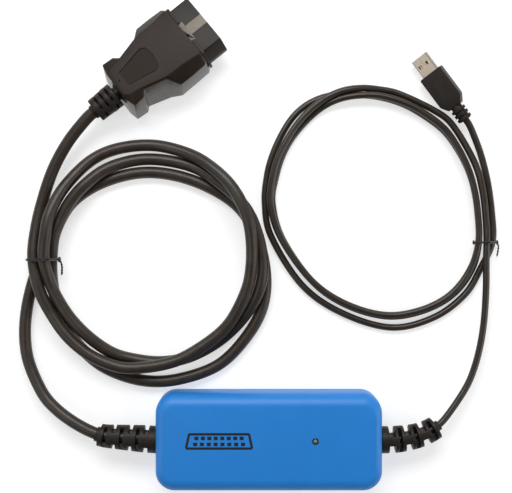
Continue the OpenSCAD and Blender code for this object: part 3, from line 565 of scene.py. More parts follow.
# last stations, along the plug's axis: u, z
VEHICLE_END = [(-26.5, 16.3), (-21.5, VEHICLE_PLUG.axis_z), (-17, VEHICLE_PLUG.axis_z)]
COMPUTER_END = [(-15, 7.6), (-11.5, COMPUTER_PLUG.axis_z), (-8.5, COMPUTER_PLUG.axis_z)]

# where pieces would bend between two bodies, not used below: bodies, then start and end of the bend
# in metres
VEHICLE_PLUG_BEND = ("vehicle_cable", "vehicle_plug_boot",
                     metres_along(VEHICLE_PLUG, -33), metres_along(VEHICLE_PLUG, -12))
COMPUTER_PLUG_BEND = ("computer_cable", "computer_plug_boot",
                      metres_along(COMPUTER_PLUG, -20), metres_along(COMPUTER_PLUG, -6))


def cable_path(lead, centre, coil, plug, end, radius, step):
    points = lead + [(centre[0] + r * math.cos(rad(a)), centre[1] + r * math.sin(rad(a)), z)
                     for a, r, z in coil] + [along(plug, u, z) for u, z in end]
    return relax(resample(catmull(points, 12, low=radius + 0.02), step), 6)


def cable(prefix, path, radius, sides, past_head, plug, tail_length, material, node, body):
    """head, coil and tail of one cable; they share rings where they meet, so no joint shows"""
    rings = tube_rings(path, radius, sides)
    head_end = next(i for i, p in enumerate(path) if past_head(p))
    plug_at = Vector((plug.x, plug.y))
    tail_start = max(i for i, p in enumerate(path)
                     if (Vector((p.x, p.y)) - plug_at).length > tail_length)
    runs = (("head", 0, head_end), ("coil", head_end, tail_start),
            ("tail", tail_start, len(path) - 1))
    parts = [make(prefix + "_" + name, *loft(rings[a:b + 1]), material, 60) for name, a, b in runs]
    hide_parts(node)
    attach(parts[1], body)
    return parts[0], parts[2]


vehicle_path = cable_path(VEHICLE_LEAD, VEHICLE_COIL_CENTRE, VEHICLE_COIL, VEHICLE_PLUG,
                          VEHICLE_END, VEHICLE_R, step=1.5)
computer_path = cable_path(COMPUTER_LEAD, COMPUTER_COIL_CENTRE, COMPUTER_COIL, COMPUTER_PLUG,
                           COMPUTER_END, COMPUTER_R, step=1.2)
vehicle_head, vehicle_tail = cable(
    "vehicle_lead", vehicle_path, VEHICLE_R, VEHICLE_SIDES, past_head=lambda p: p.x < -124,
    plug=VEHICLE_PLUG, tail_length=40, material="cable_black", node="obd_cable",
    body="vehicle_cable")
computer_head, computer_tail = cable(
    "computer_lead", computer_path, COMPUTER_R, COMPUTER_SIDES,
    past_head=lambda p: p.x > 122 and p.y < 40, plug=COMPUTER_PLUG, tail_length=26,
    material="cable_thin", node="usb_cable", body="computer_cable")
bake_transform(vehicle_head)
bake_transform(computer_head)
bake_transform(vehicle_tail)
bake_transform(computer_tail)

# ------------------------------------------------------------------ ribbed boots
# A boot is a stack of slabs along a path, each listed as (end, kind):
# D disc, N neck, H webs at both sides, V webs above and below, X four slanting webs.
# A small letter puts the webs on a neck.
WEB_ANGLES = {"H": (0, 180), "V": (90, 270), "X": (40, 140, 220, 320)}
SLANTING_WEB = 12    # half the angle a slanting web covers, in degrees
# A slab is split into cells (slab, layer, sector). For each neighbour of a cell: the step to it,
# and the corners of the side they share.
CELL_SIDES = (
    ((0, 1, 0), ((0, 1, 0), (0, 1, 1), (1, 1, 1), (1, 1, 0))),
    ((0, -1, 0), ((0, 0, 0), (1, 0, 0), (1, 0, 1), (0, 0, 1))),
    ((-1, 0, 0), ((0, 0, 0), (0, 0, 1), (0, 1, 1), (0, 1, 0))),
    ((1, 0, 0), ((1, 0, 0), (1, 1, 0), (1, 1, 1), (1, 0, 1))),
    ((0, 0, -1), ((0, 0, 0), (0, 1, 0), (1, 1, 0), (1, 0, 0))),
    ((0, 0, 1), ((0, 0, 1), (1, 0, 1), (1, 1, 1), (0, 1, 1))))


def boot(name, path, start, slabs, inner, middle, outer, sectors, rounding, web):
    """path(s) gives (point, side, up) and outer(s) a radius; web is half a web's angle"""
    def filled(i, layer, j):
        if not (0 <= i < len(slabs) and 0 <= layer <= 1):
            return False
        kind = slabs[i][1]
        if kind == "D" or (layer == 0 and kind.islower()):
            return True
        if kind == "N":
            return layer == 0
        kind = kind.upper()
        a = (j % sectors + 0.5) * 360 / sectors
        near = min(abs((a - c + 180) % 360 - 180) for c in WEB_ANGLES[kind])
        return near < (SLANTING_WEB if kind == "X" else web)

    bounds = [start] + [end for end, _ in slabs]
    verts, index, faces = [], {}, []

    def vertex(i, layer, j):
        j %= sectors
        key = (i, layer, j)
        if key not in index:
            p, side, up = path(bounds[i])
            r = (inner, middle, outer(bounds[i]))[layer]
            a = 2 * math.pi * j / sectors
            index[key] = len(verts)
            verts.append(tuple(p + side * (r * math.cos(a)) + up * (r * math.sin(a))))
        return index[key]

    for i in range(len(slabs)):
        for layer in (0, 1):
            for j in range(sectors):
                if not filled(i, layer, j):
                    continue
                for (di, dl, dj), corners in CELL_SIDES:
                    if not filled(i + di, layer + dl, j + dj):
                        faces.append(tuple(vertex(i + a, layer + b, j + c) for a, b, c in corners))
    obj = make(name, verts, faces, "boot_black", 40)
    bevel(obj, rounding, 3, 38, angle=40)
    return obj


def curved_frame(points):
    s = arc_lengths(points)

    def at(t):
        j = 0
        while j < len(s) - 2 and s[j + 1] < t:
            j += 1
        k = (t - s[j]) / (s[j + 1] - s[j])
        d = tangent(points, j).lerp(tangent(points, j + 1), k).normalized()
        side = UP.cross(d).normalized()
        return points[j].lerp(points[j + 1], k), side, d.cross(side)
    return at


def straight_frame(plug):
    c, s = math.cos(rad(plug.turn)), math.sin(rad(plug.turn))
    d = Vector((c, s, 0))
    side = Vector((-s, c, 0)) * math.cos(rad(plug.roll)) + UP * math.sin(rad(plug.roll))
    return lambda u: (Vector(along(plug, u, plug.axis_z)), side, d.cross(side))


def box_boot(name, path, sign, line_end, slabs, cable_radius, middle, largest, taper, web):
    """boot that follows a lead out of the box; slabs end at distances along x, on side sign"""
    line_start = 71.7
    run = [p for p in path if line_start <= p.x * sign <= line_end and p.y < 30]
    line = [Vector((line_start * sign, run[0].y, PARTING_Z))] + run
    marks = list(zip(arc_lengths(line), [p.x * sign for p in line]))

    def arc_at(x):
        for (s0, x0), (s1, x1) in zip(marks, marks[1:]):
            if x0 <= x <= x1:
                return s0 + (s1 - s0) * (x - x0) / (x1 - x0)

    def outer(s):
        # a small collar for the first 3 mm, full size to 14 mm, then the taper
        return 5.0 if s <= 3 else largest - max(0, s - 14) * taper

    return boot(name, curved_frame(line), arc_at(71.75), [(arc_at(x), kind) for x, kind in slabs],
                cable_radius + 0.1, middle, outer, sectors=36, rounding=0.5, web=web)


VEHICLE_BOX_SLABS = [
    (73.45, "D"), (76.15, "N"), (78.2, "D"), (79.6, "D"), (81.4, "D"), (84.8, "V"), (87.4, "D"),
    (89.7, "H"), (92.3, "D"), (95.2, "V"), (98.1, "D"), (100.6, "H"), (103.5, "D"), (106.2, "V"),
    (109.3, "D"), (111.9, "H"), (114.8, "D"), (117.2, "N")]
COMPUTER_BOX_SLABS = [
    (73.45, "D"), (76.15, "N"), (79.2, "D"), (81.4, "D"), (85.6, "V"), (87.8, "D"), (90.0, "H"),
    (92.3, "D"), (96.4, "V"), (98.6, "D"), (100.9, "H"), (103.2, "D"), (107.2, "V"), (109.4, "D"),
    (111.6, "H"), (113.6, "D"), (116.0, "N")]
vehicle_box_boot = box_boot(
    "vehicle_boot_lattice", vehicle_path, sign=-1, line_end=124, slabs=VEHICLE_BOX_SLABS,
    cable_radius=VEHICLE_R, middle=5.1, largest=9.2, taper=0.055, web=29)
computer_box_boot = box_boot(
    "computer_boot_lattice", computer_path, sign=1, line_end=122, slabs=COMPUTER_BOX_SLABS,
    cable_radius=COMPUTER_R, middle=3.6, largest=9.1, taper=0.045, web=21)
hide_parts("obd_box_boot")
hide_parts("usb_box_boot")
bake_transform(vehicle_box_boot)
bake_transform(computer_box_boot)

# plug boots: a rear and a front part along the plug's axis; slabs end at u
vehicle_boot_frame = straight_frame(VEHICLE_PLUG)
rear = boot(
    "vehicle_plug_boot_rear", vehicle_boot_frame, -21.7,
    [(-19.6, "N"), (-17.4, "D"), (-15.5, "D"), (-14.1, "x"), (-12.6, "D"), (-11.0, "D"),
     (-9.6, "h")],
    inner=VEHICLE_R + 0.25, middle=5.0, outer=lambda u: 8.9 + u * 0.028,
    sectors=36, rounding=0.45, web=42)
front = boot(
    "vehicle_plug_boot_front", vehicle_boot_frame, -9.6,
    [(-8.0, "D"), (-6.4, "D"), (-4.9, "x"), (-3.4, "D"), (-1.95, "D"), (3.2, "N"), (4.9, "D")],
    inner=3.3, middle=5.0, outer=lambda u: 8.95 if u < 2 else 7.3,
    sectors=36, rounding=0.45, web=42)
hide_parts("obd_plug_boot")
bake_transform(rear)
metres_along(VEHICLE_PLUG, -9.6)
metres_along(VEHICLE_PLUG, -0.6)
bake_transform(front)

computer_boot_frame = straight_frame(COMPUTER_PLUG)
rear = boot(
    "computer_plug_boot_rear", computer_boot_frame, -11.3,
    [(-10.75, "N"), (-9.7, "D"), (-8.6, "D"), (-7.4, "N"), (-6.2, "D")],
    inner=COMPUTER_R + 0.2, middle=4.0, outer=lambda u: 5.1, sectors=28, rounding=0.35, web=60)
front = boot(
    "computer_plug_boot_front", computer_boot_frame, -6.2,
    [(-5.2, "D"), (-4.0, "N"), (-3.0, "D"), (-1.9, "D"), (0.6, "N")],
    inner=1.8, middle=3.9, outer=lambda u: 5.2, sectors=28, rounding=0.35, web=60)
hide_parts("usb_plug_boot")
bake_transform(rear)
metres_along(COMPUTER_PLUG, -5.9)
metres_along(COMPUTER_PLUG, -0.4)
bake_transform(front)

# ------------------------------------------------------------------ interface box
SHELL_CORNER_STEPS = 18
TOP_ROLL_STEPS = 14
SEAM_DEPTH = 0.28                              # the shells draw in by this much where they meet
LID_SIDE_HEIGHTS = [13.68, 14.2, 16.0, 18.0]
BASE_HEIGHTS = [0.0, 0.05, 0.25, 0.6, 1.1, 1.7, 2.5, 6.0, 10.0, 12.8, 13.32]
SCREWS_AT = [(-60, -20), (60, -20), (-60, 20), (60, 20)]
SMALL_POSTS_AT = [(-48, -19), (48, -19), (-48, 19), (48, 19)]
SCREW_POST_R, SCREW_HEAD_R = 4.0, 3.1


def roll_in(depth, r):
    """how far a rounded edge of radius r stands in at this depth from its face"""
    return 0.0 if depth >= r else r - math.sqrt(r * r - (r - depth) ** 2)


def box_ring(z):
    foot = roll_in(z, FOOT_ROLL)
    in_x = max(roll_in(BOX_TOP - z, TOP_ROLL_X), foot)
    in_y = max(roll_in(BOX_TOP - z, TOP_ROLL_Y), foot)
    outline = round_rect(BOX_X - in_x, BOX_Y - in_y, BOX_CORNER - 0.5 * in_y, SHELL_CORNER_STEPS)
    return [(x, y, z) for x, y in outline]


def roll_heights(n, r):
    return [BOX_TOP - r + r * math.sin(rad(90 * k / n)) for k in range(n + 1)]


def shells():
    lid_heights = sorted({round(z, 4) for z in LID_SIDE_HEIGHTS
                          + roll_heights(TOP_ROLL_STEPS, TOP_ROLL_Y) + roll_heights(6, TOP_ROLL_X)})
    seam = [(x * (1 - SEAM_DEPTH / BOX_X), y * (1 - SEAM_DEPTH / BOX_Y), z)
            for x, y, z in box_ring(PARTING_Z)]
    lid = make("lid_shell", *loft([seam] + [box_ring(z) for z in lid_heights]), "shell_blue", 50)
    base = make("base_shell", *loft([box_ring(z) for z in BASE_HEIGHTS] + [seam]),
                "shell_blue", 50)
    cavity = round_rect(BOX_X - BOX_WALL, BOX_Y - BOX_WALL, BOX_CORNER - BOX_WALL, 8)
    cable_ports = [tool(rod((s * 70, 0, PARTING_Z), (s, 0, 0), 6.0, 10, 48)) for s in (-1, 1)]
    lid_tools = [tool(prism(cavity, 12.0, 18.8)),
                 tool(prism(round_rect(69, 24, 6, 8), 18.7, BOX_TOP - BOX_WALL)),
                 tool(rod((*LAMP_AT, 21), (0, 0, 1), 2.3, 8))]
    boolean(lid, lid_tools + cable_ports)
    bake(lid, 50)
    base_cavity = tool(prism(cavity, BOX_WALL, 15.0))
    bores = [tool(rod((x, y, -1), (0, 0, 1), SCREW_HEAD_R, 3.0, 36)) for x, y in SCREWS_AT]
    boolean(base, [base_cavity] + cable_ports + bores)
    bake(base, 50)
    drop(*lid_tools, base_cavity, *cable_ports, *bores)
    return lid, base


def posts(name, groups):
    """joined posts; each group is (places, z0, z1, outer radius, inner radius)"""
    parts = [make("part", *hollow_post(x, y, *size), "shell_blue", 40)
             for places, *size in groups for x, y in places]
    return join(name, parts, "shell_blue")


lid_shell, base_shell = shells()
base_posts = posts("base_posts", [(SCREWS_AT, 2.0, 5.0, SCREW_POST_R, SCREW_HEAD_R),
                                  (SCREWS_AT, 5.0, 13.4, SCREW_POST_R, 1.7),
                                  (SMALL_POSTS_AT, 2.2, 6.0, 3.2, 1.25)])
lid_posts = posts("lid_posts", [(SCREWS_AT, PARTING_Z, 24.9, SCREW_POST_R, 1.3)])
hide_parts("upper_shell")
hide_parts("lower_shell")
for obj in (lid_shell, base_shell, base_posts, lid_posts):
    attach(obj, "interface_box")


def port_symbol():
    """print on the lid: a D-shaped outline around two rows of eight marks"""
    middle, bottom, top = -33.2, -3.9, 7.2
    layer = (26.99, 27.045)
    outline = rounded([(middle - 23, bottom), (middle + 23, bottom),
                       (middle + 20.6, top), (middle - 20.6, top)], 1.6)
    parts = [make("part", *ribbon(outline, 1.6, *layer), "print_black", 30)]
    for y, pitch in ((-0.35, 4.55), (3.65, 4.3)):
        for k in range(8):
            x = middle + (k - 3.5) * pitch
            mark = [(x + a, y + b) for a, b in round_rect(1.35, 1.2, 0.4, 3)]
            parts.append(make("part", *prism(mark, *layer), "print_black", 30))
    return join("port_symbol_print", parts, "print_black")


symbol = port_symbol()
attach(symbol, "interface_box")

# ------------------------------------------------------------------ status lamp
# profiles about the lamp's axis: radius, z
BEZEL_PROFILE = [
    (3, 23.1), (3, 24.5), (2.28, 24.5), (2.28, 27.02), (2.2, 27.18), (2.05, 27.26), (1.85, 27.22),
    (1.66, 27.05), (1.58, 26.7), (1.56, 23.1)]
LENS_PROFILE = [
    (1.9, 21.4), (1.9, 22.6), (1.5, 22.6), (1.5, 26.2), (1.42, 26.55), (1.2, 26.82), (0.85, 27.0),
    (0.4, 27.09), (0.08, 27.1)]


def lamp_legs():
    half, spread = 0.25, 1.27
    x, y = LAMP_AT
    parts = []
    for s in (-1, 1):
        leg_x = x + s * spread
        section = rectangle(leg_x - half, leg_x + half, y - half, y + half)
        parts.append(make("part", *prism(section, 7.6, 21.45), "screw_steel", 30))
    return join("lamp_legs", parts, "screw_steel")


bezel = make("lamp_bezel", *bands(revolve(BEZEL_PROFILE, 40, LAMP_AT), looped=True),
             "bezel_black", 45)
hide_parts("led_bezel")
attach(bezel, "interface_box")
lens = make("lamp_lens_dome", *loft(revolve(LENS_PROFILE, 36, LAMP_AT)), "lamp_lens", 40)
legs = lamp_legs()
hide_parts("status_led")
for obj in (lens, legs):
    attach(obj, "interface_box")


# ------------------------------------------------------------------ twist ties
def hug(centres, r, n):
    """loop in the xz plane that stays r outside a bundle of strands"""
    out = []
    for k in range(n):
        a = 2 * math.pi * k / n
        v = (math.cos(a), math.sin(a))
        q = max(centres, key=lambda p: p[0] * v[0] + p[1] * v[1])
        out.append((q[0] + r * v[0], q[1] + r * v[1]))
    return out


def knot(x, y, z, r):
    """egg shape, longer along y"""
    rings = []
    for k in range(9):
        a = math.pi * (k + 0.5) / 9
        turns = [2 * math.pi * j / 18 for j in range(18)]
        rings.append([(x + r * math.sin(a) * math.cos(t), y + r * 1.75 * math.cos(a),
                       z + r * math.sin(a) * math.sin(t)) for t in turns])
    return loft(rings)


def tie(name, strands, y, loop_radius, wire, knots, tail, tail_turns, node, body):
    """two loops around the strands (x, z), knots (x, z, radius), and a twisted tail"""
    solids = []
    n = 96
    loop = hug(strands, loop_radius, n)
    for s in (-1, 1):
        points = [(x, y + s * (wire * 1.02 + 0.12 * math.sin(2 * math.pi * k / n + s)), z)
                  for k, (x, z) in enumerate(loop)]
        solids.append(closed_tube(points, wire, 12))
    solids += [knot(x, y, z, r) for x, z, r in knots]
    spine = resample(catmull(tail, 8), 0.45)
    for start in (0, 180):
        strand = []
        for i, p in enumerate(spine):
            a = rad(start + i * 360 * tail_turns / len(spine))
            strand.append(p + Vector((wire * 0.9 * math.cos(a), 0, wire * 0.9 * math.sin(a))))
        solids.append(loft(tube_rings(strand, wire * 0.92, 10)))
    obj = join(name, [make("part", *solid, "tie_black", 60) for solid in solids], "tie_black")
    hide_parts(node)
    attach(obj, body)


tie("vehicle_coil_tie", strands=[(-160.1, 13.3), (-148.4, 10.3), (-151.9, 18.1), (-156.2, 5.7)],
    y=122.5, loop_radius=VEHICLE_R + 0.75, wire=0.42, knots=[(-142.9, 10.6, 1.15)],
    tail=[(-143.0, 122.4, 10.6), (-141.9, 120.6, 10.4), (-141.4, 117.5, 9.3),
          (-141.9, 112.0, 7.2)],
    tail_turns=3, node="obd_twist_tie", body="vehicle_cable")
tie("computer_coil_tie", strands=[(144, 8.3), (145.3, 3.55), (149.6, 8.4), (154.6, 3.55)],
    y=134.2, loop_radius=COMPUTER_R + 0.62, wire=0.36, knots=[(157.8, 4.2, 0.95), (140.7, 8.0, 0.9)],
    tail=[(157.8, 134.0, 4.0), (158.6, 132.0, 4.2), (158.5, 129.0, 4.0), (157.8, 124.6, 3.4)],
    tail_turns=2.5, node="usb_twist_tie", body="computer_cable")

# ------------------------------------------------------------------ vehicle plug
in_vehicle_plug = plug_frame(VEHICLE_PLUG)
AXIS = VEHICLE_PLUG.own_axis
# edges of the covers, mirrored across v = 0: u, half width, z
FOOT_EDGE = [
    (-2.2, 12.6, 0), (-0.8, 19, 0), (7.8, 19.6, 0), (10.8, 16.9, 0), (26.2, 21.7, 0),
    (33.3, 25.7, 0), (46, 25.4, 0), (57.3, 24.9, 0), (59.3, 23.2, 0)]
PARTING_EDGE = [
    (1.5, 11.2, 22.0), (3.4, 18.2, 22.4), (12, 17.6, 22.4), (15, 13.9, 23.6), (31, 18, 23.6),
    (36.4, 25.2, 17.4), (46, 25.3, 17.4), (57.2, 24.8, 17.4), (59.4, 22.8, 17.4)]
TOP_EDGE = [
    (1.8, 8.4, 25), (5.4, 11, 25), (12.8, 12.3, 25), (15.6, 13, 25), (30.8, 17.1, 25),
    (33.4, 17.6, 25), (46, 17.8, 25), (58.2, 19.4, 25), (59.5, 18.2, 25)]
PARTING_GAP = 0.6
# hollow inside the covers: u, half width
HOLLOW_EDGE = [(3, 7.6), (11, 8.5), (15, 10.8), (30, 15.2), (36, 17.8), (57.1, 17.8)]
# shallow recess in the top: u, v
RECESS = rounded([(9.0, -5.6), (29.5, -9.7), (33.0, -7.8), (34.3, 0), (33.0, 7.8), (29.5, 9.7),
                  (9.0, 5.6)], 1.0)
# D section of the connector: half widths and half height
D_TOP, D_BOTTOM, D_HALF = 18.6, 22.5, 8.0
PLUG_SCREWS_AT = [(6.5, -11.8), (6.5, 11.8)]


def edge_ring(edge, down=0.0):
    half = [(u, w, z - down) for u, w, z in edge]
    return ([in_vehicle_plug((u, -w, z)) for u, w, z in half]
            + [in_vehicle_plug((u, w, z)) for u, w, z in half[::-1]])


def mirror_skin(rings):
    """a skin over rings that mirror left and right, each end closed with strips across"""
    n, m = len(rings[0]), len(rings)
    verts, faces = bands(rings)
    for i in range(n // 2 - 1):
        j, t = n - 1 - i, (m - 1) * n
        faces.append((i, j, j - 1, i + 1))
        faces.append((t + i, t + i + 1, t + j - 1, t + j))
    return verts, faces


def d_outline(grow, r=1.6):
    """the D section grown by a margin, wide side down"""
    top, bottom, half, shoulder = D_TOP + grow, D_BOTTOM + grow, D_HALF + grow, -D_HALF + 5
    return rounded([(-bottom, -half), (bottom, -half), (bottom, shoulder), (top, half),
                    (-top, half), (-bottom, shoulder)], r, 6)


def d_solid(grow, u0, u1, r=1.6):
    return across(d_outline(grow, r), u0, u1, in_vehicle_plug, AXIS)


def block(u0, u1, half_v, above0, above1):
    """block centred across the plug, between two heights above its axis"""
    return prism(rectangle(u0, u1, -half_v, half_v), AXIS + above0, AXIS + above1,
                 in_vehicle_plug)


def upright(u, v, z, radius, length, n=32):
    return rod((u, v, z), (0, 0, 1), radius, length, n, in_vehicle_plug)


def plug_covers():
    # the lower cover takes a lighter copy of the plug plastic: painted light on its lit side faces
    lower = make("plug_lower_cover",
                 *mirror_skin([edge_ring(FOOT_EDGE), edge_ring(PARTING_EDGE, PARTING_GAP)]),
                 "plug_side")
    upper = make("plug_upper_cover",
                 *mirror_skin([edge_ring(PARTING_EDGE), edge_ring(TOP_EDGE)]), "plug_grey")
    bevel(lower, 0.4, 4, 12)
    bevel(upper, 0.32, 4, 12)
    hollow = [(u, -w) for u, w in HOLLOW_EDGE] + [(u, w) for u, w in HOLLOW_EDGE[::-1]]
    shared = [tool(d_solid(0.05, 50.9, 62)),
              tool(rod((-6, 0, AXIS), (1, 0, 0), 6.2, 11, 40, in_vehicle_plug))]
    lower_tools = [tool(prism(hollow, 2.2, 26, in_vehicle_plug))]
    head_bores = [tool(upright(u, v, -1, 2.6, 8.8)) for u, v in PLUG_SCREWS_AT]
    screw_bores = [tool(upright(u, v, -1, 1.4, 26)) for u, v in PLUG_SCREWS_AT]
    upper_tools = [tool(prism(hollow, 10, 22.6, in_vehicle_plug))]
    top_marks = [tool(prism(RECESS, 24.2, 26.5, in_vehicle_plug)),
                 tool(upright(5.8, 0.8, 23.9, 0.7, 2, 16))]
    upper_bores = [tool(upright(u, v, 15, 1.02, 8.8, 24)) for u, v in PLUG_SCREWS_AT]
    boolean(lower, lower_tools + shared + head_bores + screw_bores)
    boolean(upper, upper_tools + shared + top_marks + upper_bores)
    bake(lower)
    bake(upper)
    drop(*lower_tools, *upper_tools, *shared, *head_bores, *screw_bores, *top_marks, *upper_bores)
    return lower, upper


def plug_shroud():
    """D-shaped sleeve with a flange and a stepped notch in its top"""
    shroud = make("plug_shroud", *d_solid(0, 51, 76), "shroud_black")
    flange = tool(d_solid(1.8, 59.56, 61.5, r=1.2))
    bevel(flange, 0.3, 2, 30)
    bevel(shroud, 0.35, 3, 40)
    cuts = [tool(d_solid(-1.6, 50, 79, r=0.9)), tool(block(59.52, 63.2, 7.75, 5, 13)),
            tool(block(59.5, 79, 3.8, 5, 13))]
    boolean(shroud, [flange], "UNION")
    boolean(shroud, cuts)
    bake(shroud)
    only_material(shroud, "shroud_black")
    drop(flange, *cuts)
    return shroud


def contact_carrier():
    """block inside the shroud, with a T-shaped tongue that fills the notch"""
    carrier = make("plug_contact_carrier", *d_solid(-1.65, 52, 60.5, r=0.9), "carrier_grey")
    tongue = [tool(block(59.6, 63.0, 7.7, 5.6, 8.35)), tool(block(59.6, 75.9, 3.75, 5.6, 8.35))]
    boolean(carrier, tongue, "UNION")
    bake(carrier)
    drop(*tongue)
    bevel(carrier, 0.18, 2, 40)
    only_material(carrier, "carrier_grey")
    return carrier


def contact_blades():
    """two rows of eight"""
    pitch, row_height = 4.0, 4.2
    # u, half thickness, half width
    sections = [(46, 0.4, 0.75), (70.4, 0.4, 0.75), (71.6, 0.22, 0.5), (72.0, 0.1, 0.32)]
    parts = []
    for row in (-1, 1):
        for k in range(8):
            v, z = (k - 3.5) * pitch, AXIS + row * row_height
            rings = [[in_vehicle_plug((u, v + a * w, z + b * h)) for a, b in rectangle(-1, 1, -1, 1)]
                     for u, h, w in sections]
            parts.append(make("part", *loft(rings), "contact_brass", 30))
    return join("plug_contact_blades", parts, "contact_brass")


lower_cover, upper_cover = plug_covers()
recess_pad = make("plug_recess_pad",
                  *prism([(u * 0.972 + 0.6, v * 0.945) for u, v in RECESS], 24.0, 24.82,
                         in_vehicle_plug), "plug_recess")
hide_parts("obd_plug_lower_cover")
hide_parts("obd_plug_upper_cover")
shroud = plug_shroud()
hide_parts("obd_plug_shroud")
carrier = contact_carrier()
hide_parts("obd_contact_carrier")
blades = contact_blades()
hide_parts("obd_contacts")
for obj, slot in ((lower_cover, "plug_grey"), (upper_cover, "plug_grey"),
                  (recess_pad, "plug_grey"), (shroud, "shroud_black"),
                  (carrier, "carrier_grey"), (blades, "contact_brass")):
    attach(obj, "vehicle_plug")

# ------------------------------------------------------------------ computer plug
in_computer_plug = plug_frame(COMPUTER_PLUG)
STEEL_HALF_V, STEEL_HALF_Z, STEEL_WALL = 6.0, 2.25, 0.32
OVERMOULD = [(0, -5.0), (5.4, -8.5), (28.8, -8.5), (28.8, 8.5), (5.4, 8.5), (0, 5.0)]    # u, v
DIMPLES_AT = [(9.0, -3.0), (9.0, 3.0), (18.5, -3.2), (21.5, 3.4)]                       # u, v


def computer_block(u0, u1, v0, v1, z0, z1):
    return prism(rectangle(u0, u1, v0, v1), z0, z1, in_computer_plug)


def overmould():
    body = make("plug_overmould", *prism(OVERMOULD, -4.0, 4.0, in_computer_plug),
                "overmould_black")
    bevel(body, 0.95, 5, 20)
    axis = (math.cos(rad(COMPUTER_PLUG.turn)), math.sin(rad(COMPUTER_PLUG.turn)), 0)
    cuts = [tool(computer_block(15.95, 31, -6.02, 6.02, -2.27, 2.27)),
            tool(computer_block(9, 16.2, -4, 4, -1.6, 1.6)),
            tool(rod(in_computer_plug((-1, 0, 0)), axis, 3.55, 1.7)),
            tool(rod(in_computer_plug((0, 0, 0)), axis, 2.0, 10))]
    cuts += [tool(loft(revolve([(0.42, 3.86), (0.42, 4.4)], 14, at, in_computer_plug)))
             for at in DIMPLES_AT]
    boolean(body, cuts)
    bake(body)
    drop(*cuts)
    return body


def steel_shell():
    """flat sleeve, with two windows through both faces and a groove and two slits on top"""
    def section(inset, r):
        half_v, half_z = STEEL_HALF_V - inset, STEEL_HALF_Z - inset
        return rounded(rectangle(-half_v, half_v, -half_z, half_z), r)

    shell = make("plug_steel_shell", *across(section(0, 0.55), 16, 42.2, in_computer_plug),
                 "shell_steel", 30)
    window_v = 2.9
    sides = (-window_v, window_v)
    cuts = [tool(across(section(STEEL_WALL, 0.3), 15, 44, in_computer_plug))]
    cuts += [tool(computer_block(34.6, 37.1, v - 1.15, v + 1.15, -5, 5)) for v in sides]
    cuts += [tool(computer_block(29.0, 43, -0.06, 0.06, 2.1, 2.5))]
    cuts += [tool(computer_block(30.2, 30.35, v - 1.45, v + 1.45, 2.12, 2.5)) for v in sides]
    boolean(shell, cuts)
    bake(shell, 30)
    drop(*cuts)
    return shell


plug_body = overmould()
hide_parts("usb_overmould")
plug_shell = steel_shell()
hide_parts("usb_shell")
for obj, slot in ((plug_body, "overmould_black"), (plug_shell, "shell_steel")):
    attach(obj, "computer_plug")


# ------------------------------------------------------------------ floor
def floor_paint(name, grey, rough, glow):
    """faintly mottled glowing paint, clear from below"""
    material = bpy.data.materials.new(name)
    material.use_nodes = True
    tree = material.node_tree
    link = tree.links.new
    surface = tree.nodes["Principled BSDF"]
    noise = add_node(tree, "TexNoise", {"Scale": 8})
    ramp = add_ramp(tree, [(0.0, [grey * 0.995] * 3), (1.0, [grey] * 3)])
    link(noise.outputs["Fac"], ramp.inputs["Fac"])
    link(ramp.outputs["Color"], surface.inputs["Base Color"])
    surface.inputs["Roughness"].default_value = rough
    surface.inputs["Specular IOR Level"].default_value = 0.1
    surface.inputs["Emission Color"].default_value = (1, 1, 1, 1)
    surface.inputs["Emission Strength"].default_value = glow
    geometry = add_node(tree, "NewGeometry")
    clear = add_node(tree, "BsdfTransparent")
    mix = add_node(tree, "MixShader")
    link(geometry.outputs["Backfacing"], mix.inputs["Fac"])
    link(clear.outputs["BSDF"], mix.inputs[1])
    link(surface.outputs["BSDF"], mix.inputs[2])
    link(mix.outputs["Shader"], tree.nodes["Material Output"].inputs["Surface"])
    return material


FLOOR_HALF, FLOOR_Z = 2500, -0.02
floor = make("floor", [(x, y, FLOOR_Z) for x, y in
                       rectangle(-FLOOR_HALF, FLOOR_HALF, -FLOOR_HALF, FLOOR_HALF)],
             [(0, 1, 2, 3)])
floor.data.materials.append(floor_paint("floor_white", grey=0.55, rough=0.8, glow=0.60))


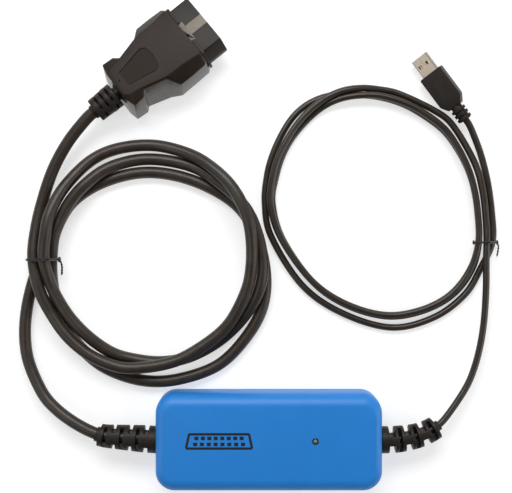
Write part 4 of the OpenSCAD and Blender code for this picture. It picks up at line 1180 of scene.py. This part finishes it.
# ------------------------------------------------------------------ light and camera, in metres
def light_world():
    """grey surroundings, darker towards the zenith and towards -y"""
    world = bpy.data.worlds.new("world")
    bpy.context.scene.world = world
    world.use_nodes = True
    tree = world.node_tree
    link = tree.links.new
    background = tree.nodes["Background"]
    coordinates = add_node(tree, "TexCoord")
    axes = add_node(tree, "SeparateXYZ")
    ramp = add_ramp(tree, [(0.0, (0.85, 0.85, 0.85)), (0.95, (0.14, 0.14, 0.14))])
    ramp.color_ramp.elements.new(0.35).color = (0.62, 0.62, 0.62, 1)
    link(coordinates.outputs["Generated"], axes.inputs["Vector"])
    link(axes.outputs["Z"], ramp.inputs["Fac"])
    by_depth = add_node(tree, "MapRange", {"From Min": -1.0, "To Min": 0.30, "To Max": 1.05})
    link(axes.outputs["Y"], by_depth.inputs["Value"])
    dim = add_node(tree, "VectorMath")
    dim.operation = "SCALE"
    link(ramp.outputs["Color"], dim.inputs[0])
    link(by_depth.outputs["Result"], dim.inputs["Scale"])
    link(dim.outputs["Vector"], background.inputs["Color"])
    background.inputs["Strength"].default_value = 0.6


def softbox(name, at, target, size, power):
    light = bpy.data.lights.new(name, "AREA")
    light.shape = "RECTANGLE"
    light.size, light.size_y = size
    light.energy = power
    obj = bpy.data.objects.new(name, light)
    bpy.context.scene.collection.objects.link(obj)
    obj.location = at
    obj.rotation_euler = (Vector(target) - Vector(at)).to_track_quat("-Z", "Y").to_euler()


def overhead_camera():
    """looks straight down, with +y at the top of the view"""
    lens_data = bpy.data.cameras.new("camera")
    lens_data.sensor_width = 36.0
    lens_data.sensor_fit = "HORIZONTAL"
    lens_data.lens = 65.8125
    lens_data.clip_start, lens_data.clip_end = 0.01, 20
    camera = bpy.data.objects.new("camera", lens_data)
    bpy.context.scene.collection.objects.link(camera)
    camera.location = (-0.0086, 0.1314, 0.650)
    bpy.context.scene.camera = camera


light_world()
softbox("key", at=(-0.10, 0.75, 0.80), target=(0, 0.10, 0), size=(0.9, 0.35), power=8.2)
softbox("fill", at=(-0.75, -0.15, 0.85), target=(0, 0.12, 0), size=(0.5, 0.9), power=2.3)
softbox("side", at=(0.95, -0.05, 0.55), target=(0, 0.12, 0), size=(0.5, 0.9), power=3.6)
overhead_camera()
view = bpy.context.scene.view_settings
view.view_transform = "Standard"
view.look = "None"
view.exposure = 0.0
view.gamma = 1.0
